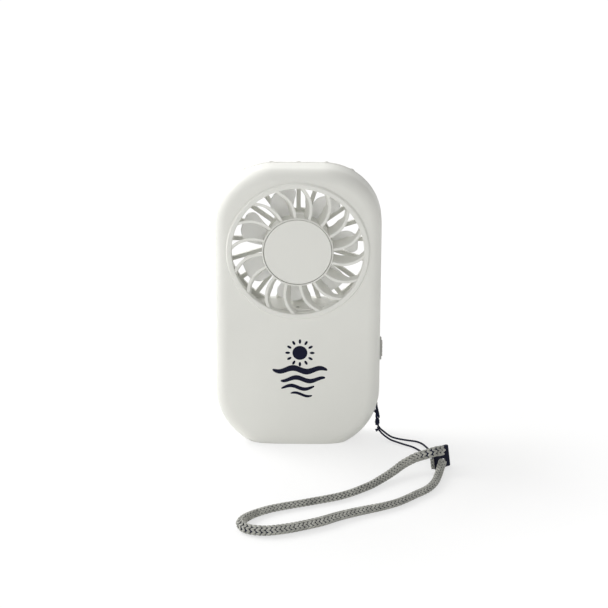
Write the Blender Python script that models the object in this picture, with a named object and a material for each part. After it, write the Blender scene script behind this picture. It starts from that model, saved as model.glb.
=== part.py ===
"""Pocket fan: a slab case on a flat base, with a swirl grille and an impeller in the upper half.

A slide switch and a lanyard bar are on the right edge, and a knitted wrist strap lies on the table.

Metres, +Z up. The front faces -Y and +X is to the right.
The origin is on the table, under the middle of the case.
"""

import math

import bmesh
import bpy
from mathutils import Matrix, Vector
from mathutils.geometry import interpolate_bezier

MM = 0.001

# Case
BODY_WIDTH = 64.0 * MM
BODY_HEIGHT = 112.4 * MM
BODY_DEPTH = 17.0 * MM
TOP_CORNER_R = 22.6 * MM
BOTTOM_CORNER_R = 25.7 * MM
BASE_CUT = 3.6 * MM
EDGE_ROUND = 5.0 * MM
WALL = 2.0 * MM
PORT_TO_SEAM = 3.5 * MM
SEAM_GAP = 0.3 * MM
LIP_WALL = 0.85 * MM
LIP_LENGTH = 1.2 * MM
OVERRUN = 1.0 * MM
EMBED = 0.5 * MM
GAP = 0.3 * MM

# Fan chamber: its margin to the top and sides of the case, and its floor above the bezel's lowest point
FAN_MARGIN = 4.2 * MM
FLOOR_RISE = 3.4 * MM
INTAKE_SET_IN = 0.4 * MM
FLOOR_WALL = 1.5 * MM
PEEP_HOLE_R = 0.75 * MM
PEEP_HOLE_SET_BACK = 4.9 * MM

# Front grille
BEZEL_WIDTH = 2.7 * MM
BEZEL_PROUD = 0.8 * MM
BEZEL_THICK = 1.3 * MM
BEZEL_ROUND = 0.5 * MM
SKIRT_WALL = 1.4 * MM
SKIRT_GAP = 0.4 * MM
SKIRT_PAST_WALL = 0.3 * MM
GRILLE_DEPTH = 4.5 * MM
FIN_COUNT = 16
FIN_THICK = 1.1 * MM
FIN_SWEEP = math.radians(17.0)
FIN_FIRST = math.radians(18.5)
FIN_SET_BACK = 0.5 * MM
FIN_DEPTH = 4.6 * MM
FIN_SET_OVER = 1.8 * MM
FIN_TAPER_SHARE = 0.8
FIN_SHALLOW_SHARE = 0.7
HUB_RING_WALL = 0.8 * MM
HUB_FLOOR_THICK = 1.1 * MM
HUB_CAP_R = 12.95 * MM
HUB_CAP_THICK = 1.2 * MM
HUB_CAP_SET_BACK = 0.15 * MM
HUB_PEG_COUNT = 3
HUB_PEG_R = 1.6 * MM
HUB_PEG_LENGTH = 1.5 * MM
HUB_PEG_RING_R = 8.5 * MM
HUB_PEG_TURN = math.radians(11.0)
SNAP_WIDTH = 5.0 * MM
SNAP_REACH = 0.7 * MM
SNAP_THICK = 1.2 * MM
SNAP_COUNT = 4

# Rear spokes and motor plate
SPOKE_COUNT = 20
SPOKE_WIDTH = 1.7 * MM
SPOKE_THICK = 1.5 * MM
SPOKE_SET_BACK = 0.4 * MM
PLATE_PAST_HUB = 0.4 * MM
MOTOR_PLATE_THICK = 1.6 * MM
MOTOR_PLATE_SET_BACK = 0.2 * MM
SEAT_WALL = 1.1 * MM
SEAT_HEIGHT = 2.4 * MM
SEAT_NOTCH = 3.2 * MM

# Motor
CAN_R = 10.0 * MM
CAN_WALL = 0.8 * MM
END_CAP_THICK = 1.3 * MM
BUSH_R = 1.7 * MM
BUSH_LENGTH = 1.6 * MM
SHAFT_R = 0.75 * MM
MAGNET_WALL = 1.5 * MM
COMMUTATOR_ROOM = 1.4 * MM
ARMATURE_GAP = 0.5 * MM
ARMATURE_END_GAP = 0.9 * MM
ARMATURE_SLOTS = 3
ARMATURE_SLOT_WIDTH = 1.4 * MM
ARMATURE_SLOT_DEPTH = 4.0 * MM
MOTOR_SCREW_SPREAD = 5.5 * MM
MOTOR_SCREW_HEAD_R = 1.5 * MM
MOTOR_SCREW_HEAD = 0.8 * MM
MOTOR_SCREW_SHANK_R = 0.7 * MM

# Impeller
BLADE_COUNT = 7
BLADE_TIP_GAP = 2.1 * MM
BLADE_THICK = 1.0 * MM
BLADE_SET_BACK = 0.3 * MM
BLADE_PAST_CUP = 0.8 * MM
BLADE_ARC = math.radians(33.0)
BLADE_SWEEP = math.radians(9.0)
BLADE_FIRST = math.radians(-14.5)
TIP_ROUND_START_SHARE = 0.62
TIP_ROUND_SHARE = 0.42
BLADE_ROOT_SHARE = 0.78
BLADE_FLATTER_SHARE = 0.12
BLADE_EDGE_SHARE = 0.55
CAN_TO_HUB = 0.9 * MM
IMPELLER_HUB_WALL = 1.3 * MM
IMPELLER_FACE_THICK = 1.2 * MM
IMPELLER_BOSS_R = 2.4 * MM
IMPELLER_BOSS_LENGTH = 1.0 * MM
CUP_TO_SEAT = 1.9 * MM

# Grip ribs on top of the rear shell
RIB_COUNT = 5
RIB_PITCH = 10.6 * MM
RIB_R = 1.6 * MM
RIB_PROUD = 0.4 * MM
RIB_END_GAP = 0.6 * MM

# Case screws and their bosses
BOSS_R = 2.6 * MM
SLEEVE_R = 3.2 * MM
LOWER_BOSS_SET_IN = 7.0 * MM
UPPER_BOSS_SET_IN = 7.5 * MM
SLEEVE_TO_FLOOR = 0.7 * MM
SLEEVE_TO_BOARD = 0.4 * MM
BOARD_TO_LOWER_SLEEVE = 1.3 * MM
BOSS_PAST_SEAM = 1.0 * MM
SCREW_HEAD_R = 1.9 * MM
SCREW_HEAD = 1.3 * MM
SCREW_SHANK_R = 0.8 * MM
SCREW_LENGTH = 9.5 * MM
SCREW_SUNK = 0.9 * MM
SCREW_DRIVE_R = 0.9 * MM
SCREW_DRIVE_DEPTH = 0.6 * MM

# Circuit board and what is on it
BOARD_LEFT_SET_IN = 3.4 * MM
BOARD_RIGHT_SET_IN = 5.2 * MM
BOARD_HEIGHT = 14.0 * MM
BOARD_THICK = 1.2 * MM
BOARD_SCREW_X = 13.0 * MM
BOARD_POST_R = 2.3 * MM
BOARD_SCREW_HEAD_R = 1.6 * MM
BOARD_SCREW_HEAD = 0.8 * MM
BOARD_SCREW_SHANK_R = 0.75 * MM
BOARD_SCREW_LENGTH = 4.0 * MM
CHIP_SIDE = 6.5 * MM
CHIP_THICK = 1.3 * MM

# Switch: how far the side ports are set back from the front, and the switch above the board's lower edge
PORT_SET_BACK = 7.0 * MM
SWITCH_RISE = 5.3 * MM
KNOB_HEIGHT = 8.3 * MM
KNOB_WIDTH = 4.0 * MM
KNOB_PROUD = 1.0 * MM
KNOB_TRAVEL = 3.0 * MM
KNOB_GROOVES = 3
KNOB_GROOVE_DEPTH = 0.35 * MM
KNOB_GROOVE_PITCH = 1.6 * MM
SHUTTER_THICK = 1.1 * MM
SHUTTER_WIDTH = 5.0 * MM
TONGUE_SIDE = 1.8 * MM
SWITCH_BODY_SET_IN = 5.4 * MM
SWITCH_BODY_WIDTH = 5.6 * MM
SWITCH_BODY_HEIGHT = 9.6 * MM
SWITCH_BODY_DEPTH = 3.5 * MM
CHANNEL_DEPTH = 2.4 * MM

# Charging socket and light pipe
SOCKET_WIDTH = 8.9 * MM
SOCKET_THICK = 3.2 * MM
SOCKET_LENGTH = 7.6 * MM
SOCKET_SHELL = 0.4 * MM
SOCKET_TONGUE = 0.7 * MM
SOCKET_TONGUE_LENGTH = 5.4 * MM
SOCKET_SUNK = 0.8 * MM
SOCKET_RISE = 4.6 * MM
LIGHT_R = 0.9 * MM
LIGHT_RISE = 11.9 * MM
LIGHT_LENGTH = 4.2 * MM

# Battery: it fills the width between the screw sleeves
CELL_TO_SLEEVE = 1.8 * MM
CELL_TO_BOARD = 6.0 * MM
CELL_HEIGHT = 20.0 * MM
CELL_THICK = 8.0 * MM
CELL_LOW_Z = 7.0 * MM
CELL_ROUND = 2.0 * MM
CELL_LEDGE_SET_IN = 7.0 * MM
CELL_LEDGE_WIDTH = 3.0 * MM

# Leads inside the case
LEAD_R = 0.45 * MM
MOTOR_LEAD_SPREAD = 0.8 * MM
CELL_LEAD_SPREAD = 2.2 * MM
LEAD_SLOT_WIDTH = 3.4 * MM
LEAD_SLOT_DEPTH = 1.7 * MM
LEAD_COVER_WIDTH = 4.2 * MM
LEAD_COVER_THICK = 0.8 * MM
LEAD_BEND = 3.0 * MM

# Lanyard scoop and bar: the bar runs past the scoop's middle into its wall on both sides
SCOOP_OUT = 2.0 * MM
SCOOP_Y = -1.0 * MM
SCOOP_Z = 14.0 * MM
SCOOP_RADII = (7.2 * MM, 4.6 * MM, 7.0 * MM)
SCOOP_WALL = 1.6 * MM
BAR_SET_IN = 2.3 * MM
BAR_R = 0.9 * MM
BAR_FRONT_REACH = 4.4 * MM
BAR_BACK_REACH = 4.9 * MM

# Thread, knots, strap and clip
THREAD_D = 0.8 * MM
BIGHT_SPREAD = 0.6 * MM
BIGHT_DEGREES = (-20, 20, 60, 100, 140, 180, 220, 250)
KNOT_SET_IN = 0.5 * MM
KNOT_DROP = 5.6 * MM
KNOT_R = 1.0 * MM
KNOT_HEIGHT = 3.6 * MM
KNOT_HEIGHT_SHARES = (0.04, 0.2, 0.5, 0.8, 0.96)
KNOT_WIDTH_SHARES = (0.55, 0.95, 1.0, 0.95, 0.6)
END_KNOT_R = 0.6 * MM
END_KNOT_SET_IN = 0.2 * MM
END_KNOT_FORWARD = 1.4 * MM
END_KNOT_DROP = 4.7 * MM
STRAP_D = 4.0 * MM
TAIL_WIDTH = 1.9 * MM
TAIL_THICK = 1.2 * MM
TAIL_LENGTH = 5.4 * MM
TAIL_ROUND = 0.4 * MM
TAIL_PLACE = (-5.2 * MM, -1.2 * MM)
CLIP_PLACE = (56.1 * MM, -29.5 * MM)
CLIP_TURN = math.radians(36.0)
CLIP_LEAN = math.radians(12.0)
CLIP_WIDTH = 7.4 * MM
CLIP_HEIGHT = 8.4 * MM
CLIP_THICK = 1.6 * MM
CLIP_POST = 1.8 * MM
CLIP_WINDOWS = 2
CLIP_BAR = 1.3 * MM
CLIP_ROUND = 0.4 * MM

# Routes in metres: points chosen by hand along the middle of each thread and of the strap.
UPPER_STRAND_ROUTE = (
    (0.0319, 0.0008, 0.0042),
    (0.0324, 0.0001, 0.0036),
    (0.0330, -0.0008, 0.0028),
    (0.0339, -0.0019, 0.0020),
    (0.0353, -0.0031, 0.0012),
    (0.0374, -0.0041, 0.0007),
    (0.0405, -0.0049, 0.0005),
    (0.0440, -0.0055, 0.0005),
    (0.0468, -0.0062, 0.0005),
    (0.0487, -0.0080, 0.0006),
    (0.0499, -0.0110, 0.0010),
    (0.0508, -0.0148, 0.0017),
    (0.0518, -0.0187, 0.0025),
    (0.0528, -0.0222, 0.0032),
    (0.0537, -0.0254, 0.0037),
    (0.0543, -0.0281, 0.0039),
)
LOWER_STRAND_ROUTE = (
    (0.0317, -0.0004, 0.0042),
    (0.0320, -0.0010, 0.0034),
    (0.0326, -0.0020, 0.0026),
    (0.0334, -0.0031, 0.0018),
    (0.0348, -0.0044, 0.0011),
    (0.0368, -0.0058, 0.0006),
    (0.0395, -0.0075, 0.0005),
    (0.0424, -0.0093, 0.0005),
    (0.0452, -0.0113, 0.0005),
    (0.0471, -0.0141, 0.0007),
    (0.0484, -0.0173, 0.0012),
    (0.0496, -0.0206, 0.0018),
    (0.0508, -0.0237, 0.0026),
    (0.0519, -0.0266, 0.0034),
    (0.0528, -0.0291, 0.0039),
)
STRAP_ROUTE = (
    (0.0561, -0.0318, 0.0080),
    (0.0545, -0.0327, 0.0083),
    (0.0523, -0.0340, 0.0084),
    (0.0500, -0.0342, 0.0080),
    (0.0478, -0.0337, 0.0071),
    (0.0455, -0.0334, 0.0061),
    (0.0430, -0.0342, 0.0051),
    (0.0405, -0.0357, 0.0043),
    (0.0364, -0.0401, 0.0031),
    (0.0315, -0.0456, 0.0024),
    (0.0268, -0.0505, 0.0021),
    (0.0174, -0.0582, 0.0021),
    (0.0050, -0.0639, 0.0021),
    (-0.0072, -0.0691, 0.0021),
    (-0.0145, -0.0741, 0.0021),
    (-0.0185, -0.0793, 0.0021),
    (-0.0192, -0.0840, 0.0021),
    (-0.0163, -0.0877, 0.0021),
    (-0.0103, -0.0889, 0.0021),
    (-0.0032, -0.0871, 0.0021),
    (0.0035, -0.0842, 0.0021),
    (0.0105, -0.0804, 0.0021),
    (0.0162, -0.0762, 0.0021),
    (0.0235, -0.0719, 0.0021),
    (0.0325, -0.0673, 0.0021),
    (0.0391, -0.0628, 0.0021),
    (0.0448, -0.0570, 0.0021),
    (0.0497, -0.0518, 0.0021),
    (0.0524, -0.0466, 0.0021),
    (0.0539, -0.0410, 0.0022),
    (0.0551, -0.0359, 0.0026),
    (0.0561, -0.0327, 0.0031),
)

# Case faces, side ports and seam. The rounded edge is limited by the rear shell's side wall.
FRONT_Y = -BODY_DEPTH / 2
REAR_Y = BODY_DEPTH / 2
FRONT_INNER_Y = FRONT_Y + WALL
REAR_INNER_Y = REAR_Y - WALL
SIDE_X = BODY_WIDTH / 2
SIDE_INNER_X = SIDE_X - WALL
SIDE_PORT_Y = FRONT_Y + PORT_SET_BACK
PARTING_Y = SIDE_PORT_Y + PORT_TO_SEAM
REAR_SEAM_Y = PARTING_Y + SEAM_GAP
EDGE_R = min(EDGE_ROUND, REAR_Y - REAR_SEAM_Y - GAP)

# What the cell, the board and the upper screws need under the chamber floor, stacked on the cell's foot
CELL_TOP_Z = CELL_LOW_Z + CELL_HEIGHT
BOARD_TO_FLOOR = SLEEVE_TO_BOARD + 2 * SLEEVE_R + SLEEVE_TO_FLOOR + FLOOR_WALL
BAY_HEIGHT = CELL_TOP_Z + CELL_TO_BOARD + BOARD_HEIGHT + BOARD_TO_FLOOR

# The fan takes the room that the case's width, and its height above the bay, leave inside the margin.
BEZEL_R = min(SIDE_X - FAN_MARGIN, (BODY_HEIGHT - FAN_MARGIN + FLOOR_RISE - BAY_HEIGHT) / 2)
BEZEL_INNER_R = BEZEL_R - BEZEL_WIDTH
FAN_Z = BODY_HEIGHT - FAN_MARGIN - BEZEL_R
FLOOR_Z = FAN_Z - BEZEL_R + FLOOR_RISE
HUB_RING_R = HUB_CAP_R + GAP / 2 + HUB_RING_WALL
OUTLET_R = BEZEL_INNER_R + SKIRT_WALL + SKIRT_GAP
INTAKE_R = BEZEL_R - INTAKE_SET_IN
PEEP_HOLE_Y = FRONT_Y + PEEP_HOLE_SET_BACK

# From front to back: grille, impeller, motor seat and motor plate
GRILLE_BACK_Y = FRONT_Y + GRILLE_DEPTH
PLATE_BACK_Y = REAR_Y - MOTOR_PLATE_SET_BACK
PLATE_FRONT_Y = PLATE_BACK_Y - MOTOR_PLATE_THICK
SEAT_OUTER_R = CAN_R + GAP + SEAT_WALL
IMPELLER_FRONT_Y = GRILLE_BACK_Y + GAP
IMPELLER_BACK_Y = PLATE_FRONT_Y - SEAT_HEIGHT - CUP_TO_SEAT
IMPELLER_HUB_R = CAN_R + CAN_TO_HUB + IMPELLER_HUB_WALL
MOTOR_PLATE_R = IMPELLER_HUB_R + PLATE_PAST_HUB
BLADE_TIP_R = BEZEL_INNER_R - BLADE_TIP_GAP
BLADE_FRONT_Y = IMPELLER_FRONT_Y + BLADE_SET_BACK
BLADE_BACK_Y = IMPELLER_BACK_Y + BLADE_PAST_CUP

# From the chamber floor down: upper screws, board, lower screws and cell
UPPER_BOSS_Z = FLOOR_Z - FLOOR_WALL - SLEEVE_TO_FLOOR - SLEEVE_R
BOARD_HIGH_Z = UPPER_BOSS_Z - SLEEVE_R - SLEEVE_TO_BOARD
BOARD_LOW_Z = BOARD_HIGH_Z - BOARD_HEIGHT
LOWER_BOSS_Z = BOARD_LOW_Z - BOARD_TO_LOWER_SLEEVE - SLEEVE_R
LOWER_BOSS = (SIDE_X - LOWER_BOSS_SET_IN, LOWER_BOSS_Z)
UPPER_BOSS = (SIDE_X - UPPER_BOSS_SET_IN, UPPER_BOSS_Z)
BOARD_LEFT_X = -SIDE_X + BOARD_LEFT_SET_IN
BOARD_RIGHT_X = SIDE_X - BOARD_RIGHT_SET_IN
BOARD_FRONT_Y = SIDE_PORT_Y + SOCKET_THICK / 2 + GAP
BOARD_SCREW_Z = (BOARD_LOW_Z + BOARD_HIGH_Z) / 2
SWITCH_Z = BOARD_LOW_Z + SWITCH_RISE
SOCKET_Z = BOARD_LOW_Z + SOCKET_RISE
LIGHT_Z = BOARD_LOW_Z + LIGHT_RISE
SWITCH_BODY_RIGHT_X = SIDE_X - SWITCH_BODY_SET_IN
SWITCH_BODY_LEFT_X = SWITCH_BODY_RIGHT_X - SWITCH_BODY_WIDTH
CELL_WIDTH = 2 * (LOWER_BOSS[0] - SLEEVE_R - CELL_TO_SLEEVE)
CELL_LEDGE_X = CELL_WIDTH / 2 - CELL_LEDGE_SET_IN

# Lanyard scoop, bar and knots
SCOOP_CENTRE = (SIDE_X + SCOOP_OUT, SCOOP_Y, SCOOP_Z)
BAR_X = SIDE_X - BAR_SET_IN
BAR_FRONT_Y = SCOOP_Y - BAR_FRONT_REACH
BAR_BACK_Y = SCOOP_Y + BAR_BACK_REACH
KNOT_X = SIDE_X - KNOT_SET_IN
KNOT_TOP_Z = SCOOP_Z - KNOT_DROP
END_KNOT_PLACE = (KNOT_X - END_KNOT_SET_IN, SCOOP_Y - END_KNOT_FORWARD, KNOT_TOP_Z - END_KNOT_DROP)

WELD = 0.001 * MM
SMOOTH_ANGLE = math.radians(32.0)
ARC_STEPS = 8
EDGE_STEPS = 4
INNER_EDGE_STEPS = 3
ROUND_STEPS = 44
SCOOP_STEPS = 10
HUB_STEPS = 32
MOTOR_STEPS = 18
SMALL_STEPS = 10
RIB_STEPS = 8
SCREW_STEPS = 8
FIN_STEPS = 4
BLADE_SECTIONS = 5
BLADE_POINTS = 4
CURVE_STEPS = 12
CURVE_HANDLE_SHARE = 1 / 6
CORD_SPACING_SHARE = 3.0
BIGHT_SPACING_SHARE = 1.6
STRAP_SPACING_SHARE = 1.5
CORD_RESOLUTION = 2
STRAP_RESOLUTION = 3

MANY_CUTS = ("front_shell", "rear_shell", "front_grille", "impeller")


def clear_scene():
    """Remove every object, so that the script gives the same result in any file."""
    for obj in list(bpy.data.objects):
        bpy.data.objects.remove(obj, do_unlink=True)


def material(name, colour, roughness, metallic=0.0):
    """A Principled BSDF material with one colour."""
    made = bpy.data.materials.new(name)
    made.use_nodes = True
    shader = made.node_tree.nodes["Principled BSDF"]
    shader.inputs["Base Color"].default_value = (*colour, 1.0)
    shader.inputs["Roughness"].default_value = roughness
    shader.inputs["Metallic"].default_value = metallic
    made.diffuse_color = (*colour, 1.0)
    return made


def add_object(name, mesh_data, finish, smooth=True):
    """Put a mesh in the scene under its name, with its finish."""
    mesh = bpy.data.meshes.new(name)
    mesh_data.normal_update()
    mesh_data.to_mesh(mesh)
    mesh_data.free()
    if smooth:
        mesh.shade_smooth()
        mesh.set_sharp_from_angle(angle=SMOOTH_ANGLE)
    if finish:
        mesh.materials.append(finish)
    obj = bpy.data.objects.new(name, mesh)
    bpy.context.scene.collection.objects.link(obj)
    return obj


def helper(obj):
    """Mark a cutter or a shape to be joined: it isn't part of the fan by itself."""
    obj.hide_render = True
    obj.display_type = "WIRE"
    return obj


def boolean(target, other, operation):
    """Join, cut or trim target with other, which stays in the scene as a helper."""
    helper(other)
    step = target.modifiers.new(f"{operation.lower()}_{other.name}", "BOOLEAN")
    step.operation = operation
    # The exact solver leaves open edges on these, which take many cuts one after another.
    step.solver = "MANIFOLD" if target.name in MANY_CUTS else "EXACT"
    step.object = other


def cut(target, *others):
    for other in others:
        boolean(target, other, "DIFFERENCE")


def join(target, *others):
    for other in others:
        boolean(target, other, "UNION")


def weld(target):
    """Merge the doubled points that a chain of cuts leaves where corners meet."""
    step = target.modifiers.new("weld", "WELD")
    step.merge_threshold = WELD


def faces_out(data):
    bmesh.ops.recalc_face_normals(data, faces=data.faces)
    return data


def loft(rings):
    """A closed mesh through rings of points, each with the same count, with a face over each end."""
    data = bmesh.new()
    made = [[data.verts.new(point) for point in ring] for ring in rings]
    for first, second in zip(made[:-1], made[1:]):
        for index, vert in enumerate(first):
            after = (index + 1) % len(first)
            data.faces.new((vert, first[after], second[after], second[index]))
    data.faces.new(made[0])
    data.faces.new(made[-1])
    return faces_out(data)


def turned(profile, steps=ROUND_STEPS, ring=False):
    """A solid turned about an axis along Y, from (radius, y) points.

    The points start and end on the axis, or are the closed outline of a ring.
    """
    data = bmesh.new()
    verts = [data.verts.new((radius, y, 0.0)) for radius, y in profile]
    pairs = list(zip(verts[:-1], verts[1:]))
    if ring:
        pairs.append((verts[-1], verts[0]))
    edges = [data.edges.new(pair) for pair in pairs]
    bmesh.ops.spin(
        data,
        geom=verts + edges,
        cent=(0.0, 0.0, 0.0),
        axis=(0.0, 1.0, 0.0),
        angle=math.tau,
        steps=steps,
        use_merge=True,
    )
    bmesh.ops.remove_doubles(data, verts=data.verts, dist=WELD)
    return faces_out(data)


def moved(data, place):
    bmesh.ops.translate(data, verts=data.verts, vec=place)
    return data


def box(low, high):
    """A box between two corners."""
    data = bmesh.new()
    size = [b - a for a, b in zip(low, high)]
    middle = [(a + b) / 2 for a, b in zip(low, high)]
    bmesh.ops.create_cube(data, size=1.0, matrix=Matrix.Diagonal((*size, 1.0)))
    return moved(data, middle)


def rounded_box(low, high, radius, segments=2):
    data = box(low, high)
    bmesh.ops.bevel(
        data, geom=data.edges[:], offset=radius, segments=segments, profile=0.5, affect="EDGES", material=-1
    )
    return data


def rod_y(x, z, radius, y_from, y_to, steps=SMALL_STEPS):
    """A round rod along Y."""
    profile = [(0.0, y_from), (radius, y_from), (radius, y_to), (0.0, y_to)]
    return moved(turned(profile, steps), (x, 0.0, z))


def rod_x(y, z, radius, x_from, x_to, steps=SMALL_STEPS):
    """A round rod along X."""
    data = turned([(0.0, x_from), (radius, x_from), (radius, x_to), (0.0, x_to)], steps)
    bmesh.ops.rotate(data, verts=data.verts, matrix=Matrix.Rotation(-math.pi / 2, 3, "Z"))
    return moved(data, (0.0, y, z))


def half_arc_points(centre_x, centre_z, radius, start, end, steps):
    """Points on a circle in the front view, from one angle to another."""
    points = []
    for step in range(steps + 1):
        angle = start + (end - start) * step / steps
        points.append((centre_x + radius * math.cos(angle), centre_z + radius * math.sin(angle)))
    return points


def case_outline(inset, floor, y):
    """The case's outline in the front view, drawn in by inset, standing on the level floor, at depth y."""
    top_x = SIDE_X - TOP_CORNER_R
    top_z = BODY_HEIGHT - TOP_CORNER_R
    low_x = SIDE_X - BOTTOM_CORNER_R
    low_z = BOTTOM_CORNER_R - BASE_CUT
    low_r = BOTTOM_CORNER_R - inset
    foot = math.asin(min((low_z - floor) / low_r, 1.0))
    right = half_arc_points(low_x, low_z, low_r, -foot, 0.0, ARC_STEPS)
    right += half_arc_points(top_x, top_z, TOP_CORNER_R - inset, 0.0, math.pi / 2, ARC_STEPS)
    left = [(-x, z) for x, z in reversed(right)]
    return [Vector((x, y, z)) for x, z in right + left]


def edge_rings(side, inset, steps):
    """The rings of the rounded edge drawn in by inset, from the face to the side wall.

    Side is -1 for the front and 1 for the rear.
    """
    rings = []
    radius = EDGE_R - inset
    face_y = side * (BODY_DEPTH / 2 - inset)
    for step in range(steps + 1):
        angle = math.pi / 2 * step / steps
        drawn = inset + radius * (1 - math.sin(angle))
        depth = radius * (1 - math.cos(angle))
        rings.append(case_outline(drawn, inset, face_y - side * depth))
    return rings


def wall_step(inset, *places):
    """Straight stretches of the side wall at one inset, at these depths."""
    return [case_outline(inset, inset, y) for y in places]


def front_cup():
    """The front shell before its openings: face, rounded edge, side wall, rebated rim and hollow."""
    rings = edge_rings(-1, 0.0, EDGE_STEPS)
    rings += wall_step(0.0, PARTING_Y)
    rings += wall_step(LIP_WALL, PARTING_Y, rebate_front_y())
    rings += wall_step(WALL, rebate_front_y())
    rings += reversed(edge_rings(-1, WALL, INNER_EDGE_STEPS))
    return loft(rings)


def rebate_front_y():
    return PARTING_Y - LIP_LENGTH - SEAM_GAP


def rear_cup():
    """The rear shell before its openings, with the lip that enters the front shell's rebate."""
    lip_y = REAR_SEAM_Y - SEAM_GAP - LIP_LENGTH
    rings = edge_rings(1, 0.0, EDGE_STEPS)
    rings += wall_step(0.0, REAR_SEAM_Y)
    rings += wall_step(LIP_WALL + SEAM_GAP, REAR_SEAM_Y, lip_y)
    rings += wall_step(WALL, lip_y)
    rings += reversed(edge_rings(1, WALL, INNER_EDGE_STEPS))
    return loft(rings)


def scoop_shape(name, grown):
    """The lanyard scoop as a stretched ball, grown by a wall."""
    data = bmesh.new()
    bmesh.ops.create_uvsphere(data, u_segments=2 * SCOOP_STEPS, v_segments=SCOOP_STEPS, radius=1.0)
    radii = [radius + grown for radius in SCOOP_RADII]
    bmesh.ops.scale(data, verts=data.verts, vec=radii)
    return add_object(name, moved(data, SCOOP_CENTRE), None)


def scoop_backing(name, front):
    """The wall round the scoop inside one shell, kept just under the shell's outer surface."""
    backing = scoop_shape(name, SCOOP_WALL)
    if front:
        rings = edge_rings(-1, EMBED, EDGE_STEPS) + wall_step(EMBED, rebate_front_y() - EMBED)
        rings += wall_step(WALL + GAP, rebate_front_y() - EMBED, PARTING_Y)
    else:
        inside = LIP_WALL + SEAM_GAP + EMBED / 2
        rings = edge_rings(1, inside, EDGE_STEPS) + wall_step(inside, REAR_SEAM_Y)
    limit = add_object(name + "_limit", loft(rings), None)
    boolean(backing, limit, "INTERSECT")
    return backing


def boss_places():
    """The four case screws, as (x, z)."""
    return [(side * x, z) for x, z in (LOWER_BOSS, UPPER_BOSS) for side in (-1, 1)]


def screw_head_y():
    """The outer face of each case screw's head."""
    return REAR_Y - SCREW_SUNK


def front_shell(finish):
    shell = add_object("front_shell", front_cup(), finish)
    boss_end = PARTING_Y + BOSS_PAST_SEAM
    pilot_end = screw_head_y() - SCREW_LENGTH - WALL / 2
    for index, (x, z) in enumerate(boss_places()):
        boss = rod_y(x, z, BOSS_R, FRONT_INNER_Y - EMBED, boss_end)
        join(shell, add_object(f"front_boss_{index + 1}", boss, None))
    join(shell, scoop_backing("front_scoop_backing", True))
    for index, (x, z) in enumerate(boss_places()):
        pilot = rod_y(x, z, SCREW_SHANK_R + GAP, pilot_end, boss_end + OVERRUN)
        cut(shell, add_object(f"front_pilot_{index + 1}", pilot, None))
    seat_y = FRONT_Y - BEZEL_PROUD + BEZEL_THICK + GAP
    stepped = [
        (0.0, FRONT_Y - OVERRUN),
        (BEZEL_R + GAP, FRONT_Y - OVERRUN),
        (BEZEL_R + GAP, seat_y),
        (OUTLET_R, seat_y),
        (OUTLET_R, FRONT_INNER_Y + OVERRUN),
        (0.0, FRONT_INNER_Y + OVERRUN),
    ]
    cut(shell, add_object("outlet_cutter", moved(turned(stepped), (0.0, 0.0, FAN_Z)), None))
    cut(shell, add_object("switch_slot", switch_slot(), None))
    left_x, right_x = -SIDE_X - OVERRUN, -SIDE_INNER_X + OVERRUN
    cut(shell, add_object("socket_mouth", socket_outline(GAP, left_x, right_x), None))
    light_hole = rod_x(SIDE_PORT_Y, LIGHT_Z, LIGHT_R + GAP, left_x, right_x)
    cut(shell, add_object("light_hole", light_hole, None))
    cut(shell, scoop_shape("front_scoop", 0.0), add_object("front_bar_hole", bar_hole(), None))
    return shell


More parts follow.
